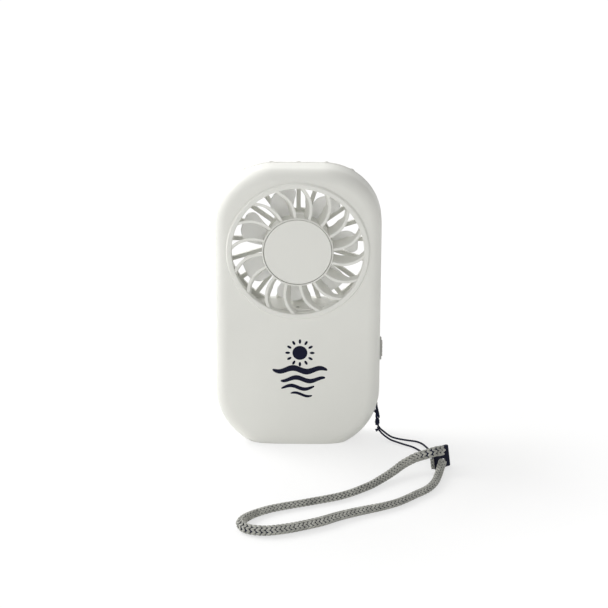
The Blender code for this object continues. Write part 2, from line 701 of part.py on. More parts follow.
def rear_shell(finish):
    shell = add_object("rear_shell", rear_cup(), finish)
    intake = rod_y(0.0, FAN_Z, INTAKE_R, REAR_INNER_Y - OVERRUN, REAR_Y + OVERRUN, ROUND_STEPS)
    intake_cutter = add_object("intake_cutter", intake, None)
    below = box((-BODY_WIDTH, REAR_INNER_Y - BODY_DEPTH, 0.0), (BODY_WIDTH, REAR_Y + BODY_DEPTH, FLOOR_Z))
    cut(intake_cutter, add_object("intake_flat", below, None))
    cut(shell, intake_cutter)
    join(shell, *chamber_floor(), *spokes(), motor_plate(), lead_cover())
    for index, (x, z) in enumerate(boss_places()):
        sleeve = rod_y(x, z, SLEEVE_R, PARTING_Y + BOSS_PAST_SEAM + GAP, REAR_Y - EMBED)
        join(shell, add_object(f"screw_sleeve_{index + 1}", sleeve, None))
    for side in (-1, 1):
        post = rod_y(side * BOARD_SCREW_X, BOARD_SCREW_Z, BOARD_POST_R, board_back_y() + GAP, REAR_Y - EMBED)
        join(shell, add_object(f"board_post_{side}", post, None))
        left_x = side * CELL_LEDGE_X - CELL_LEDGE_WIDTH / 2
        right_x = side * CELL_LEDGE_X + CELL_LEDGE_WIDTH / 2
        foot = box((left_x, REAR_SEAM_Y + EMBED, EMBED), (right_x, REAR_INNER_Y + EMBED, CELL_LOW_Z - WALL))
        ledge = box(
            (left_x - EMBED / 2, cell_front_y(), WALL + GAP),
            (right_x + EMBED / 2, REAR_INNER_Y + EMBED / 2, CELL_LOW_Z - GAP),
        )
        join(shell, add_object(f"cell_foot_{side}", foot, None))
        join(shell, add_object(f"cell_ledge_{side}", ledge, None))
    join(shell, scoop_backing("rear_scoop_backing", False))
    join(shell, *grip_ribs())
    for index, (x, z) in enumerate(boss_places()):
        hole = rod_y(x, z, SCREW_SHANK_R + GAP, PARTING_Y - WALL, REAR_Y)
        seat_y = screw_head_y() - SCREW_HEAD - GAP
        counterbore = rod_y(x, z, SCREW_HEAD_R + GAP, seat_y, REAR_Y + OVERRUN)
        cut(shell, add_object(f"screw_hole_{index + 1}", hole, None))
        cut(shell, add_object(f"screw_counterbore_{index + 1}", counterbore, None))
    for side in (-1, 1):
        x = side * BOARD_SCREW_X
        pilot = rod_y(x, BOARD_SCREW_Z, BOARD_SCREW_SHANK_R + GAP, PARTING_Y - WALL, REAR_INNER_Y)
        cut(shell, add_object(f"board_pilot_{side}", pilot, None))
        x = side * MOTOR_SCREW_SPREAD
        hole = rod_y(x, FAN_Z, MOTOR_SCREW_SHANK_R + GAP, PLATE_FRONT_Y - OVERRUN, REAR_Y + OVERRUN)
        cut(shell, add_object(f"motor_screw_hole_{side}", hole, None))
        sink_y = PLATE_BACK_Y - MOTOR_SCREW_HEAD - GAP
        sink = rod_y(x, FAN_Z, MOTOR_SCREW_HEAD_R + GAP, sink_y, REAR_Y + OVERRUN)
        cut(shell, add_object(f"motor_screw_sink_{side}", sink, None))
    lead_slot = box(
        (-LEAD_SLOT_WIDTH / 2, REAR_INNER_Y - LEAD_SLOT_DEPTH, FLOOR_Z - FLOOR_WALL - OVERRUN),
        (LEAD_SLOT_WIDTH / 2, REAR_INNER_Y, FLOOR_Z + OVERRUN),
    )
    cut(shell, add_object("lead_slot", lead_slot, None))
    peep = bmesh.new()
    bmesh.ops.create_cone(
        peep,
        cap_ends=True,
        segments=SMALL_STEPS,
        radius1=PEEP_HOLE_R,
        radius2=PEEP_HOLE_R,
        depth=FLOOR_WALL + OVERRUN,
        matrix=Matrix.Translation((0.0, PEEP_HOLE_Y, FLOOR_Z - FLOOR_WALL / 2)),
    )
    cut(shell, add_object("peep_hole", peep, None))
    cut(shell, scoop_shape("rear_scoop", 0.0), add_object("rear_bar_hole", bar_hole(), None))
    return shell


def chamber_floor():
    """The flat floor between the fan and the electronics: one piece inside each shell's walls."""
    low, high = FLOOR_Z - FLOOR_WALL, FLOOR_Z
    wide = box((-SIDE_INNER_X - EMBED, REAR_SEAM_Y, low), (SIDE_INNER_X + EMBED, REAR_INNER_Y + EMBED, high))
    slim_x = SIDE_INNER_X - GAP
    slim = box((-slim_x, FRONT_Y + EDGE_R, low), (slim_x, REAR_SEAM_Y + EMBED, high))
    nose_x = SIDE_INNER_X - (EDGE_R - WALL) - GAP
    nose = box((-nose_x, skirt_back_y() + GAP, low), (nose_x, FRONT_Y + EDGE_R + EMBED, high))
    stretches = (("rear", wide), ("slim", slim), ("nose", nose))
    return [add_object(f"floor_{name}", data, None) for name, data in stretches]


def spokes():
    """The straight spokes across the intake, from the motor plate into the shell."""
    made = []
    outer_y = REAR_Y - SPOKE_SET_BACK
    for index in range(SPOKE_COUNT):
        data = box(
            (-SPOKE_WIDTH / 2, outer_y - SPOKE_THICK, MOTOR_PLATE_R - WALL),
            (SPOKE_WIDTH / 2, outer_y, INTAKE_R + WALL / 2),
        )
        turn = Matrix.Rotation(math.tau * index / SPOKE_COUNT, 3, "Y")
        bmesh.ops.rotate(data, verts=data.verts, matrix=turn)
        made.append(add_object(f"spoke_{index + 1}", moved(data, (0.0, 0.0, FAN_Z)), None))
    return made


def motor_plate():
    """The round plate behind the motor with the low ring that the motor sits in."""
    front, back = PLATE_FRONT_Y, PLATE_BACK_Y
    seat_in = CAN_R + GAP
    profile = [
        (0.0, back),
        (MOTOR_PLATE_R, back),
        (MOTOR_PLATE_R, front),
        (SEAT_OUTER_R, front),
        (SEAT_OUTER_R, front - SEAT_HEIGHT),
        (seat_in, front - SEAT_HEIGHT),
        (seat_in, front),
        (0.0, front),
    ]
    plate = add_object("motor_plate", moved(turned(profile, HUB_STEPS), (0.0, 0.0, FAN_Z)), None)
    notch = box(
        (-SEAT_NOTCH / 2, front - SEAT_HEIGHT - OVERRUN, FAN_Z - SEAT_OUTER_R - OVERRUN),
        (SEAT_NOTCH / 2, front, FAN_Z - CAN_R + WALL),
    )
    cut(plate, add_object("seat_notch", notch, None))
    return plate


def lead_cover():
    """The strip in front of the motor's leads, from the chamber floor up to the motor seat."""
    back = REAR_INNER_Y - LEAD_SLOT_DEPTH - EMBED / 2
    strip = box(
        (-LEAD_COVER_WIDTH / 2, back - LEAD_COVER_THICK, FLOOR_Z - EMBED),
        (LEAD_COVER_WIDTH / 2, back, FAN_Z - SEAT_OUTER_R + EMBED),
    )
    return add_object("lead_cover", strip, None)


def grip_ribs():
    """Low half-round ribs across the top of the rear shell, evenly spaced along the outline."""
    made = []
    middle = (RIB_COUNT - 1) / 2
    corner_x = SIDE_X - TOP_CORNER_R
    for index in range(RIB_COUNT):
        along = (index - middle) * RIB_PITCH
        turn = max(abs(along) - corner_x, 0.0) / TOP_CORNER_R
        reach = TOP_CORNER_R - (RIB_R - RIB_PROUD)
        x = min(abs(along), corner_x) + reach * math.sin(turn)
        z = BODY_HEIGHT - TOP_CORNER_R + reach * math.cos(turn)
        y_from = REAR_SEAM_Y + RIB_END_GAP
        y_to = REAR_Y - EDGE_R / 2
        data = rod_y(math.copysign(x, along), z, RIB_R, y_from, y_to, RIB_STEPS)
        made.append(add_object(f"grip_rib_{index + 1}", data, None))
    return made


def front_grille(finish):
    """Rim, swirled fins and hub ring in one moulding, with pegs for the hub cap and snap hooks behind."""
    face = FRONT_Y - BEZEL_PROUD
    skirt_out = BEZEL_INNER_R + SKIRT_WALL
    half_way = BEZEL_ROUND * (1 - math.sin(math.pi / 4))
    rim = [
        (BEZEL_INNER_R, face + BEZEL_ROUND / 2),
        (BEZEL_INNER_R + BEZEL_ROUND / 2, face),
        (BEZEL_R - BEZEL_ROUND, face),
        (BEZEL_R - half_way, face + half_way),
        (BEZEL_R, face + BEZEL_ROUND),
        (BEZEL_R, face + BEZEL_THICK),
        (skirt_out, face + BEZEL_THICK),
        (skirt_out, skirt_back_y()),
        (BEZEL_INNER_R, skirt_back_y()),
    ]
    grille = add_object("front_grille", moved(turned(rim, ring=True), (0.0, 0.0, FAN_Z)), finish)
    join(grille, grille_hub(), *swirl_fins(), *snap_hooks())
    for index in range(HUB_PEG_COUNT):
        place = hub_peg_place(index)
        hole = rod_y(place[0], place[1], HUB_PEG_R + GAP, cap_back_y() - OVERRUN, GRILLE_BACK_Y)
        cut(grille, add_object(f"hub_peg_hole_{index + 1}", hole, None))
    return grille


def skirt_back_y():
    return FRONT_INNER_Y + SKIRT_PAST_WALL


def cap_back_y():
    return FRONT_Y - BEZEL_PROUD + HUB_CAP_SET_BACK + HUB_CAP_THICK


def hub_peg_place(index):
    angle = HUB_PEG_TURN + math.tau * index / HUB_PEG_COUNT
    return HUB_PEG_RING_R * math.sin(angle), FAN_Z + HUB_PEG_RING_R * math.cos(angle)


def grille_hub():
    """The hub ring with the floor that the cap sits on."""
    face = FRONT_Y - BEZEL_PROUD
    floor = cap_back_y() + GAP
    inner = HUB_RING_R - HUB_RING_WALL
    profile = [
        (0.0, floor + HUB_FLOOR_THICK),
        (inner, floor + HUB_FLOOR_THICK),
        (inner, GRILLE_BACK_Y),
        (HUB_RING_R, GRILLE_BACK_Y),
        (HUB_RING_R, face + BEZEL_ROUND / 2),
        (HUB_RING_R - BEZEL_ROUND / 2, face),
        (inner + GAP / 2, face),
        (inner + GAP / 2, floor),
        (0.0, floor),
    ]
    return add_object("grille_hub", moved(turned(profile, HUB_STEPS), (0.0, 0.0, FAN_Z)), None)


def swirl_fins():
    """The fins between hub ring and rim, each swept back along a parabola as it goes out.

    Their back edges are set over against the sweep. Near the rim they are only as deep as its skirt, so that
    the chamber floor passes behind them.
    """
    made = []
    face = FRONT_Y - BEZEL_PROUD + FIN_SET_BACK
    inner = HUB_RING_R - HUB_RING_WALL / 2
    outer = BEZEL_INNER_R + SKIRT_WALL * 3 / 4
    for index in range(FIN_COUNT):
        start = FIN_FIRST + math.tau * index / FIN_COUNT
        rings = []
        for step in range(FIN_STEPS + 1):
            share = step / FIN_STEPS
            radius = inner + (outer - inner) * share
            angle = start - FIN_SWEEP * share * share
            middle = Vector((radius * math.sin(angle), 0.0, radius * math.cos(angle)))
            lean = math.atan2(2 * FIN_SWEEP * share * radius, outer - inner)
            back = skirt_back_y() - EMBED if share > FIN_SHALLOW_SHARE else face + FIN_DEPTH
            sideways = Vector((math.cos(angle - lean), 0.0, -math.sin(angle - lean)))
            across = sideways * (FIN_THICK / 2)
            front_middle = middle + Vector((0.0, face, FAN_Z))
            back_middle = middle + Vector((0.0, back, FAN_Z))
            back_middle -= sideways * (FIN_SET_OVER * (back - face) / FIN_DEPTH)
            rings.append(
                [
                    front_middle - across,
                    front_middle + across,
                    back_middle + across * FIN_TAPER_SHARE,
                    back_middle - across * FIN_TAPER_SHARE,
                ]
            )
        made.append(add_object(f"fin_{index + 1}", loft(rings), None))
    return made


def snap_hooks():
    """Hooks round the skirt that catch behind the front shell's wall."""
    made = []
    skirt_out = BEZEL_INNER_R + SKIRT_WALL
    front = FRONT_INNER_Y + GAP
    for index in range(SNAP_COUNT):
        turn = Matrix.Rotation(math.tau * (index + 0.5) / SNAP_COUNT, 3, "Y")
        arm = box(
            (-SNAP_WIDTH / 2, skirt_back_y() - EMBED, BEZEL_INNER_R + SKIRT_WALL / 4),
            (SNAP_WIDTH / 2, front + SNAP_THICK - EMBED / 2, skirt_out - SKIRT_WALL / 8),
        )
        catch = box(
            (EMBED - SNAP_WIDTH / 2, front, skirt_out - SKIRT_WALL / 2),
            (SNAP_WIDTH / 2 - EMBED, front + SNAP_THICK, skirt_out + SNAP_REACH),
        )
        for name, data in (("arm", arm), ("catch", catch)):
            bmesh.ops.rotate(data, verts=data.verts, matrix=turn)
            made.append(add_object(f"snap_{name}_{index + 1}", moved(data, (0.0, 0.0, FAN_Z)), None))
    return made


def hub_cap(finish):
    """The flat disc in the middle of the grille, with its pegs."""
    front = FRONT_Y - BEZEL_PROUD + HUB_CAP_SET_BACK
    back = cap_back_y()
    profile = [
        (0.0, front),
        (HUB_CAP_R - BEZEL_ROUND / 2, front),
        (HUB_CAP_R, front + BEZEL_ROUND / 2),
        (HUB_CAP_R, back),
        (0.0, back),
    ]
    cap = add_object("hub_cap", moved(turned(profile, HUB_STEPS), (0.0, 0.0, FAN_Z)), finish)
    for index in range(HUB_PEG_COUNT):
        place = hub_peg_place(index)
        peg = rod_y(place[0], place[1], HUB_PEG_R, back - HUB_CAP_THICK / 2, back + HUB_PEG_LENGTH)
        join(cap, add_object(f"hub_peg_{index + 1}", peg, None))
    return cap


def impeller(finish):
    """Hub cup over the motor with seven pitched blades. Its origin is on its axis."""
    face = IMPELLER_FRONT_Y
    inner = IMPELLER_HUB_R - IMPELLER_HUB_WALL
    inside = face + IMPELLER_FACE_THICK
    bore = SHAFT_R + GAP
    cup = [
        (bore, face),
        (IMPELLER_HUB_R - EMBED, face),
        (IMPELLER_HUB_R, face + EMBED),
        (IMPELLER_HUB_R, IMPELLER_BACK_Y),
        (inner, IMPELLER_BACK_Y),
        (inner, inside),
        (IMPELLER_BOSS_R, inside),
        (IMPELLER_BOSS_R, inside + IMPELLER_BOSS_LENGTH),
        (bore, inside + IMPELLER_BOSS_LENGTH),
    ]
    wheel = add_object("impeller", turned(cup, HUB_STEPS, ring=True), finish)
    wheel.location = (0.0, 0.0, FAN_Z)
    for index in range(BLADE_COUNT):
        blade = add_object(f"blade_{index + 1}", blade_shape(index), None)
        blade.location = wheel.location
        join(wheel, blade)
    return wheel


def blade_shape(index):
    """One blade: a pitched, slightly cupped plate that widens to a rounded tip."""
    start = BLADE_FIRST + math.tau * index / BLADE_COUNT
    root = IMPELLER_HUB_R - IMPELLER_HUB_WALL / 2
    rings = []
    for section in range(BLADE_SECTIONS + 1):
        share = section / BLADE_SECTIONS
        radius = root + (BLADE_TIP_R - root) * share
        past = max(share - TIP_ROUND_START_SHARE, 0.0) / TIP_ROUND_SHARE
        round_off = math.sqrt(max(1 - past**2, 0.0))
        wide = BLADE_ARC * (BLADE_ROOT_SHARE + (1 - BLADE_ROOT_SHARE) * share) * round_off
        middle_angle = start + BLADE_SWEEP * share
        front_side, back_side = [], []
        for point in range(BLADE_POINTS + 1):
            along = point / BLADE_POINTS
            angle = middle_angle + wide * (along - 1 / 2)
            middle_y = (BLADE_FRONT_Y + BLADE_BACK_Y) / 2
            half_y = (BLADE_BACK_Y - BLADE_FRONT_Y - BLADE_THICK) / 2
            y = middle_y + half_y * round_off * (2 * along - 1) * (1 - BLADE_FLATTER_SHARE * share)
            thick = BLADE_THICK / 2 * (BLADE_EDGE_SHARE + (1 - BLADE_EDGE_SHARE) * math.sin(math.pi * along))
            direction = Vector((math.sin(angle), 0.0, math.cos(angle))) * radius
            front_side.append(direction + Vector((0.0, y - thick, 0.0)))
            back_side.append(direction + Vector((0.0, y + thick, 0.0)))
        rings.append(front_side + back_side[::-1])
    return loft(rings)


def motor(metal, magnet_finish, bronze, copper):
    """The small brushed motor: can, magnet, end cap, bushes, armature and shaft.

    It fills the room between the impeller's boss and the motor plate.
    """
    back = PLATE_FRONT_Y - GAP
    front = IMPELLER_FRONT_Y + IMPELLER_FACE_THICK + IMPELLER_BOSS_LENGTH + GAP
    inner = CAN_R - CAN_WALL
    bush_hole = BUSH_R + GAP
    can = [
        (bush_hole, front),
        (CAN_R - EMBED, front),
        (CAN_R, front + EMBED),
        (CAN_R, back),
        (inner, back),
        (inner, front + CAN_WALL),
        (bush_hole, front + CAN_WALL),
    ]
    turned_part("motor_can", can, metal)
    cap_front = back - END_CAP_THICK
    cap = [(bush_hole, cap_front), (inner - GAP, cap_front), (inner - GAP, back), (bush_hole, back)]
    end_cap = turned_part("motor_end_cap", cap, magnet_finish)
    for side in (-1, 1):
        x = side * MOTOR_SCREW_SPREAD
        hole = rod_y(x, FAN_Z, MOTOR_SCREW_SHANK_R + GAP, cap_front - OVERRUN, back + OVERRUN)
        cut(end_cap, add_object(f"end_cap_hole_{side}", hole, None))
    magnet_out = inner - GAP
    magnet_front = front + CAN_WALL + GAP
    magnet_back = cap_front - COMMUTATOR_ROOM
    magnet = [
        (magnet_out - MAGNET_WALL, magnet_front),
        (magnet_out, magnet_front),
        (magnet_out, magnet_back),
        (magnet_out - MAGNET_WALL, magnet_back),
    ]
    turned_part("motor_magnet", magnet, magnet_finish)
    bush_in = SHAFT_R + GAP
    for name, bush_front in (("front", front), ("rear", back - BUSH_LENGTH)):
        bush = [
            (bush_in, bush_front),
            (BUSH_R, bush_front),
            (BUSH_R, bush_front + BUSH_LENGTH),
            (bush_in, bush_front + BUSH_LENGTH),
        ]
        turned_part(f"motor_bush_{name}", bush, bronze, SMALL_STEPS)
    armature_r = magnet_out - MAGNET_WALL - ARMATURE_GAP
    armature_front = front + BUSH_LENGTH + GAP
    armature_back = back - BUSH_LENGTH - ARMATURE_END_GAP
    armature = [
        (bush_in, armature_front),
        (armature_r, armature_front),
        (armature_r, armature_back),
        (bush_in, armature_back),
    ]
    wound = turned_part("motor_armature", armature, copper)
    for index in range(ARMATURE_SLOTS):
        slot = box(
            (-ARMATURE_SLOT_WIDTH / 2, armature_front - OVERRUN, armature_r - ARMATURE_SLOT_DEPTH),
            (ARMATURE_SLOT_WIDTH / 2, armature_back + OVERRUN, armature_r + OVERRUN),
        )
        turn = Matrix.Rotation(math.tau * index / ARMATURE_SLOTS, 3, "Y")
        bmesh.ops.rotate(slot, verts=slot.verts, matrix=turn)
        cutter = add_object(f"armature_slot_{index + 1}", slot, None)
        cutter.location = wound.location
        cut(wound, cutter)
    shaft_front = IMPELLER_FRONT_Y + GAP
    shaft = rod_y(0.0, 0.0, SHAFT_R, shaft_front, back)
    place_on_axis(add_object("motor_shaft", shaft, metal))
    length = PLATE_BACK_Y - cap_front
    for side, name in ((-1, "left"), (1, "right")):
        screw = screw_shape(
            MOTOR_SCREW_HEAD_R, MOTOR_SCREW_HEAD, MOTOR_SCREW_SHANK_R, length, PLATE_BACK_Y, 1
        )
        add_object(f"motor_screw_{name}", moved(screw, (side * MOTOR_SCREW_SPREAD, 0.0, FAN_Z)), metal)


def place_on_axis(obj):
    obj.location = (0.0, 0.0, FAN_Z)
    return obj


def turned_part(name, profile, finish, steps=MOTOR_STEPS):
    """A ring-shaped motor part on the fan's axis."""
    return place_on_axis(add_object(name, turned(profile, steps, ring=True), finish))


def screw_shape(head_r, head, shank_r, length, end_y, facing):
    """A plain screw along Y: the outer face of its head is at end_y, on the side that facing gives."""
    points = [
        (0.0, end_y - facing * SCREW_DRIVE_DEPTH),
        (SCREW_DRIVE_R, end_y - facing * SCREW_DRIVE_DEPTH),
        (SCREW_DRIVE_R, end_y),
        (head_r, end_y),
        (head_r, end_y - facing * head),
        (shank_r, end_y - facing * head),
        (shank_r, end_y - facing * (length - shank_r)),
        (0.0, end_y - facing * length),
    ]
    return turned(points, SCREW_STEPS)


def case_screws(metal):
    names = ("lower_left", "lower_right", "upper_left", "upper_right")
    for name, (x, z) in zip(names, boss_places()):
        screw = screw_shape(SCREW_HEAD_R, SCREW_HEAD, SCREW_SHANK_R, SCREW_LENGTH, screw_head_y(), 1)
        add_object(f"case_screw_{name}", moved(screw, (x, 0.0, z)), metal)


def board_back_y():
    return BOARD_FRONT_Y + BOARD_THICK


def electronics(green, black, metal, knob_finish, clear):
    """The circuit board with its screws, chip, switch, charging socket and light pipe."""
    board = add_object(
        "circuit_board",
        box((BOARD_LEFT_X, BOARD_FRONT_Y, BOARD_LOW_Z), (BOARD_RIGHT_X, board_back_y(), BOARD_HIGH_Z)),
        green,
        smooth=False,
    )
    for side, name in ((-1, "left"), (1, "right")):
        x = side * BOARD_SCREW_X
        y_from, y_to = BOARD_FRONT_Y - OVERRUN, board_back_y() + OVERRUN
        hole = rod_y(x, BOARD_SCREW_Z, BOARD_SCREW_SHANK_R + GAP, y_from, y_to)
        cut(board, add_object(f"board_hole_{side}", hole, None))
        screw = screw_shape(
            BOARD_SCREW_HEAD_R,
            BOARD_SCREW_HEAD,
            BOARD_SCREW_SHANK_R,
            BOARD_SCREW_LENGTH,
            BOARD_FRONT_Y - GAP - BOARD_SCREW_HEAD,
            -1,
        )
        add_object(f"board_screw_{name}", moved(screw, (x, 0.0, BOARD_SCREW_Z)), metal)
    on_board = BOARD_FRONT_Y - GAP
    chip = box(
        (-CHIP_SIDE / 2, on_board - CHIP_THICK, BOARD_SCREW_Z - CHIP_SIDE / 2),
        (CHIP_SIDE / 2, on_board, BOARD_SCREW_Z + CHIP_SIDE / 2),
    )
    add_object("control_chip", chip, black, smooth=False)
    switch_body(metal)
    switch_knob(knob_finish)
    charging_socket(metal)
    pipe_x = -SIDE_X + EMBED / 2
    pipe = rod_x(SIDE_PORT_Y, LIGHT_Z, LIGHT_R, pipe_x, pipe_x + LIGHT_LENGTH)
    add_object("charge_light_pipe", pipe, clear)


def channel_low_z():
    return SWITCH_Z - TONGUE_SIDE / 2 - GAP


def switch_body(metal):
    """The slide switch on the board, with the channel that the knob's tongue runs in."""
    back = BOARD_FRONT_Y - GAP
    middle_z = SWITCH_Z + KNOB_TRAVEL / 2
    low = (SWITCH_BODY_LEFT_X, back - SWITCH_BODY_DEPTH, middle_z - SWITCH_BODY_HEIGHT / 2)
    high = (SWITCH_BODY_RIGHT_X, back, middle_z + SWITCH_BODY_HEIGHT / 2)
    body = add_object("switch_body", box(low, high), metal, smooth=False)
    channel = box(
        (SWITCH_BODY_RIGHT_X - CHANNEL_DEPTH, SIDE_PORT_Y - TONGUE_SIDE / 2 - GAP, channel_low_z()),
        (
            SWITCH_BODY_RIGHT_X + OVERRUN,
            SIDE_PORT_Y + TONGUE_SIDE / 2 + GAP,
            channel_low_z() + TONGUE_SIDE + 2 * GAP + KNOB_TRAVEL,
        ),
    )
    cut(body, add_object("switch_channel", channel, None))


def switch_slot():
    """The opening in the right wall that the knob slides in."""
    half = KNOB_HEIGHT / 2 + GAP
    return box(
        (SIDE_INNER_X - OVERRUN, SIDE_PORT_Y - KNOB_WIDTH / 2 - GAP, SWITCH_Z - half),
        (SIDE_X + OVERRUN, SIDE_PORT_Y + KNOB_WIDTH / 2 + GAP, SWITCH_Z + half + KNOB_TRAVEL),
    )


def switch_knob(finish):
    """Knob, inner shutter plate and tongue. The shutter fills the slot all along the knob's travel."""
    shutter_out = SIDE_INNER_X - GAP
    outer_x = SIDE_X + KNOB_PROUD
    knob = add_object(
        "switch_knob",
        box(
            (shutter_out - SHUTTER_THICK / 2, SIDE_PORT_Y - KNOB_WIDTH / 2, SWITCH_Z - KNOB_HEIGHT / 2),
            (outer_x, SIDE_PORT_Y + KNOB_WIDTH / 2, SWITCH_Z + KNOB_HEIGHT / 2),
        ),
        finish,
        smooth=False,
    )
    reach = KNOB_HEIGHT / 2 + KNOB_TRAVEL + GAP
    shutter = box(
        (shutter_out - SHUTTER_THICK, SIDE_PORT_Y - SHUTTER_WIDTH / 2, SWITCH_Z - reach),
        (shutter_out, SIDE_PORT_Y + SHUTTER_WIDTH / 2, SWITCH_Z + reach),
    )
    tongue = box(
        (
            SWITCH_BODY_RIGHT_X - CHANNEL_DEPTH + GAP,
            SIDE_PORT_Y - TONGUE_SIDE / 2,
            SWITCH_Z - TONGUE_SIDE / 2,
        ),
        (shutter_out - SHUTTER_THICK / 2, SIDE_PORT_Y + TONGUE_SIDE / 2, SWITCH_Z + TONGUE_SIDE / 2),
    )
    join(knob, add_object("knob_shutter", shutter, None), add_object("knob_tongue", tongue, None))
    for index in range(KNOB_GROOVES):
        z = SWITCH_Z + (index - (KNOB_GROOVES - 1) / 2) * KNOB_GROOVE_PITCH
        groove = box(
            (outer_x - KNOB_GROOVE_DEPTH, SIDE_PORT_Y - KNOB_WIDTH, z - KNOB_GROOVE_PITCH / 4),
            (outer_x + OVERRUN, SIDE_PORT_Y + KNOB_WIDTH, z + KNOB_GROOVE_PITCH / 4),
        )
        cut(knob, add_object(f"knob_groove_{index + 1}", groove, None))
    return knob


def socket_outline(grown, x_from, x_to):
    """A bar along X with the socket's outline, which is a slot with round ends, grown all round."""
    half_width = SOCKET_WIDTH / 2 + grown
    radius = SOCKET_THICK / 2 + grown
    straight = half_width - radius
    points = []
    for middle, start in ((straight, 0.0), (-straight, math.pi)):
        for step in range(SMALL_STEPS // 2 + 1):
            angle = start + math.pi * step / (SMALL_STEPS // 2)
            points.append((radius * math.cos(angle), middle + radius * math.sin(angle)))
    return loft([[Vector((x, SIDE_PORT_Y + y, SOCKET_Z + z)) for y, z in points] for x in (x_from, x_to)])


def charging_socket(metal):
    """The metal socket shell with its inner tongue, open to the left."""
    mouth = -SIDE_X + SOCKET_SUNK
    socket = add_object("charging_socket", socket_outline(0.0, mouth, mouth + SOCKET_LENGTH), metal)
    depth = SOCKET_LENGTH - WALL / 2
    hollow = socket_outline(-SOCKET_SHELL, mouth - OVERRUN, mouth + depth)
    cut(socket, add_object("socket_hollow", hollow, None))
    tongue_half = SOCKET_WIDTH / 2 - SOCKET_THICK / 2
    tip_x = mouth + SOCKET_LENGTH - SOCKET_TONGUE_LENGTH
    tongue = box(
        (tip_x, SIDE_PORT_Y - SOCKET_TONGUE / 2, SOCKET_Z - tongue_half),
        (mouth + depth + EMBED, SIDE_PORT_Y + SOCKET_TONGUE / 2, SOCKET_Z + tongue_half),
    )
    join(socket, add_object("socket_tongue", tongue, None))


def cell_front_y():
    return REAR_INNER_Y - GAP - CELL_THICK


def battery(wrap):
    """The flat cell, which rests on two ledges against the rear shell."""
    back = REAR_INNER_Y - GAP
    cell = rounded_box(
        (-CELL_WIDTH / 2, back - CELL_THICK, CELL_LOW_Z),
        (CELL_WIDTH / 2, back, CELL_TOP_Z),
        CELL_ROUND,
    )
    add_object("battery_cell", cell, wrap)


def smooth_route(points, spacing):
    """Points at an even spacing along a smooth curve through the given ones."""
    fine = []
    count = len(points)
    for index in range(count - 1):
        here, after = Vector(points[index]), Vector(points[index + 1])
        before = Vector(points[index - 1]) if index else here * 2 - after
        beyond = Vector(points[index + 2]) if index + 2 < count else after * 2 - here
        leave = here + (after - before) * CURVE_HANDLE_SHARE
        arrive = after - (beyond - here) * CURVE_HANDLE_SHARE
        fine += interpolate_bezier(here, leave, arrive, after, CURVE_STEPS)[: CURVE_STEPS - 1]
    fine.append(Vector(points[-1]))
    lengths = [0.0]
    for first, second in zip(fine[:-1], fine[1:]):
        lengths.append(lengths[-1] + (second - first).length)
    total = lengths[-1]
    wanted = max(round(total / spacing), 2)
    route = []
    index = 0
    for step in range(wanted + 1):
        along = total * step / wanted
        while index < len(lengths) - 2 and lengths[index + 1] < along:
            index += 1
        span = lengths[index + 1] - lengths[index]
        route.append(fine[index].lerp(fine[index + 1], (along - lengths[index]) / span))
    return route, total


def tube(name, points, diameter, finish, spacing_share=CORD_SPACING_SHARE, resolution=CORD_RESOLUTION):
    """A round cord or lead along a route, with closed ends."""
    route, total = smooth_route(points, diameter * spacing_share)
    curve = bpy.data.curves.new(name, "CURVE")
    curve.dimensions = "3D"
    curve.bevel_depth = diameter / 2
    curve.bevel_resolution = resolution
    curve.use_fill_caps = True
    curve.twist_mode = "MINIMUM"
    spline = curve.splines.new("POLY")
    spline.points.add(len(route) - 1)
    for point, place in zip(spline.points, route):
        point.co = (*place, 1.0)
    curve.materials.append(finish)
    obj = bpy.data.objects.new(name, curve)
    bpy.context.scene.collection.objects.link(obj)
    print(f"{name}: {total / MM:.1f} mm long, {len(route)} points")
    return obj


def inner_leads(red, black):
    """Motor leads down through the chamber floor, and battery leads up to the board."""
    lead_y = REAR_INNER_Y - GAP - LEAD_R
    board_y = board_back_y() + GAP
    top_z = FAN_Z - CAN_R - GAP
    end_z = BOARD_HIGH_Z - LEAD_BEND
    for side, name, finish in ((-1, "black", black), (1, "red", red)):
        x = side * MOTOR_LEAD_SPREAD
        turn_z = end_z + LEAD_BEND
        middle_y = (lead_y + board_y) / 2
        route = [
            (x, lead_y, top_z),
            (x, lead_y, (top_z + FLOOR_Z) / 2),
            (x, lead_y, FLOOR_Z),
            (x, lead_y, turn_z),
            (x, (lead_y + middle_y) / 2, end_z + LEAD_BEND / 4),
            (x, middle_y, end_z),
            (x, board_y, end_z),
        ]
        tube(f"motor_lead_{name}", route, 2 * LEAD_R, finish)
        cell_x = side * CELL_LEAD_SPREAD
        cell_top = CELL_TOP_Z + GAP
        cell_end = BOARD_LOW_Z + LEAD_BEND
        cell_route = [
            (cell_x, middle_y, cell_top),
            (cell_x, middle_y, (cell_top + BOARD_LOW_Z) / 2),
            (cell_x, middle_y, BOARD_LOW_Z),
            (cell_x, (middle_y + board_y) / 2, cell_end - LEAD_BEND / 4),
            (cell_x, board_y, cell_end),
        ]
        tube(f"battery_lead_{name}", cell_route, 2 * LEAD_R, finish)


def bar_hole():
    return rod_y(BAR_X, SCOOP_Z, BAR_R + GAP, BAR_FRONT_Y - GAP, BAR_BACK_Y + GAP)


def lanyard_bar(metal):
    add_object("lanyard_bar", rod_y(BAR_X, SCOOP_Z, BAR_R, BAR_FRONT_Y, BAR_BACK_Y), metal)


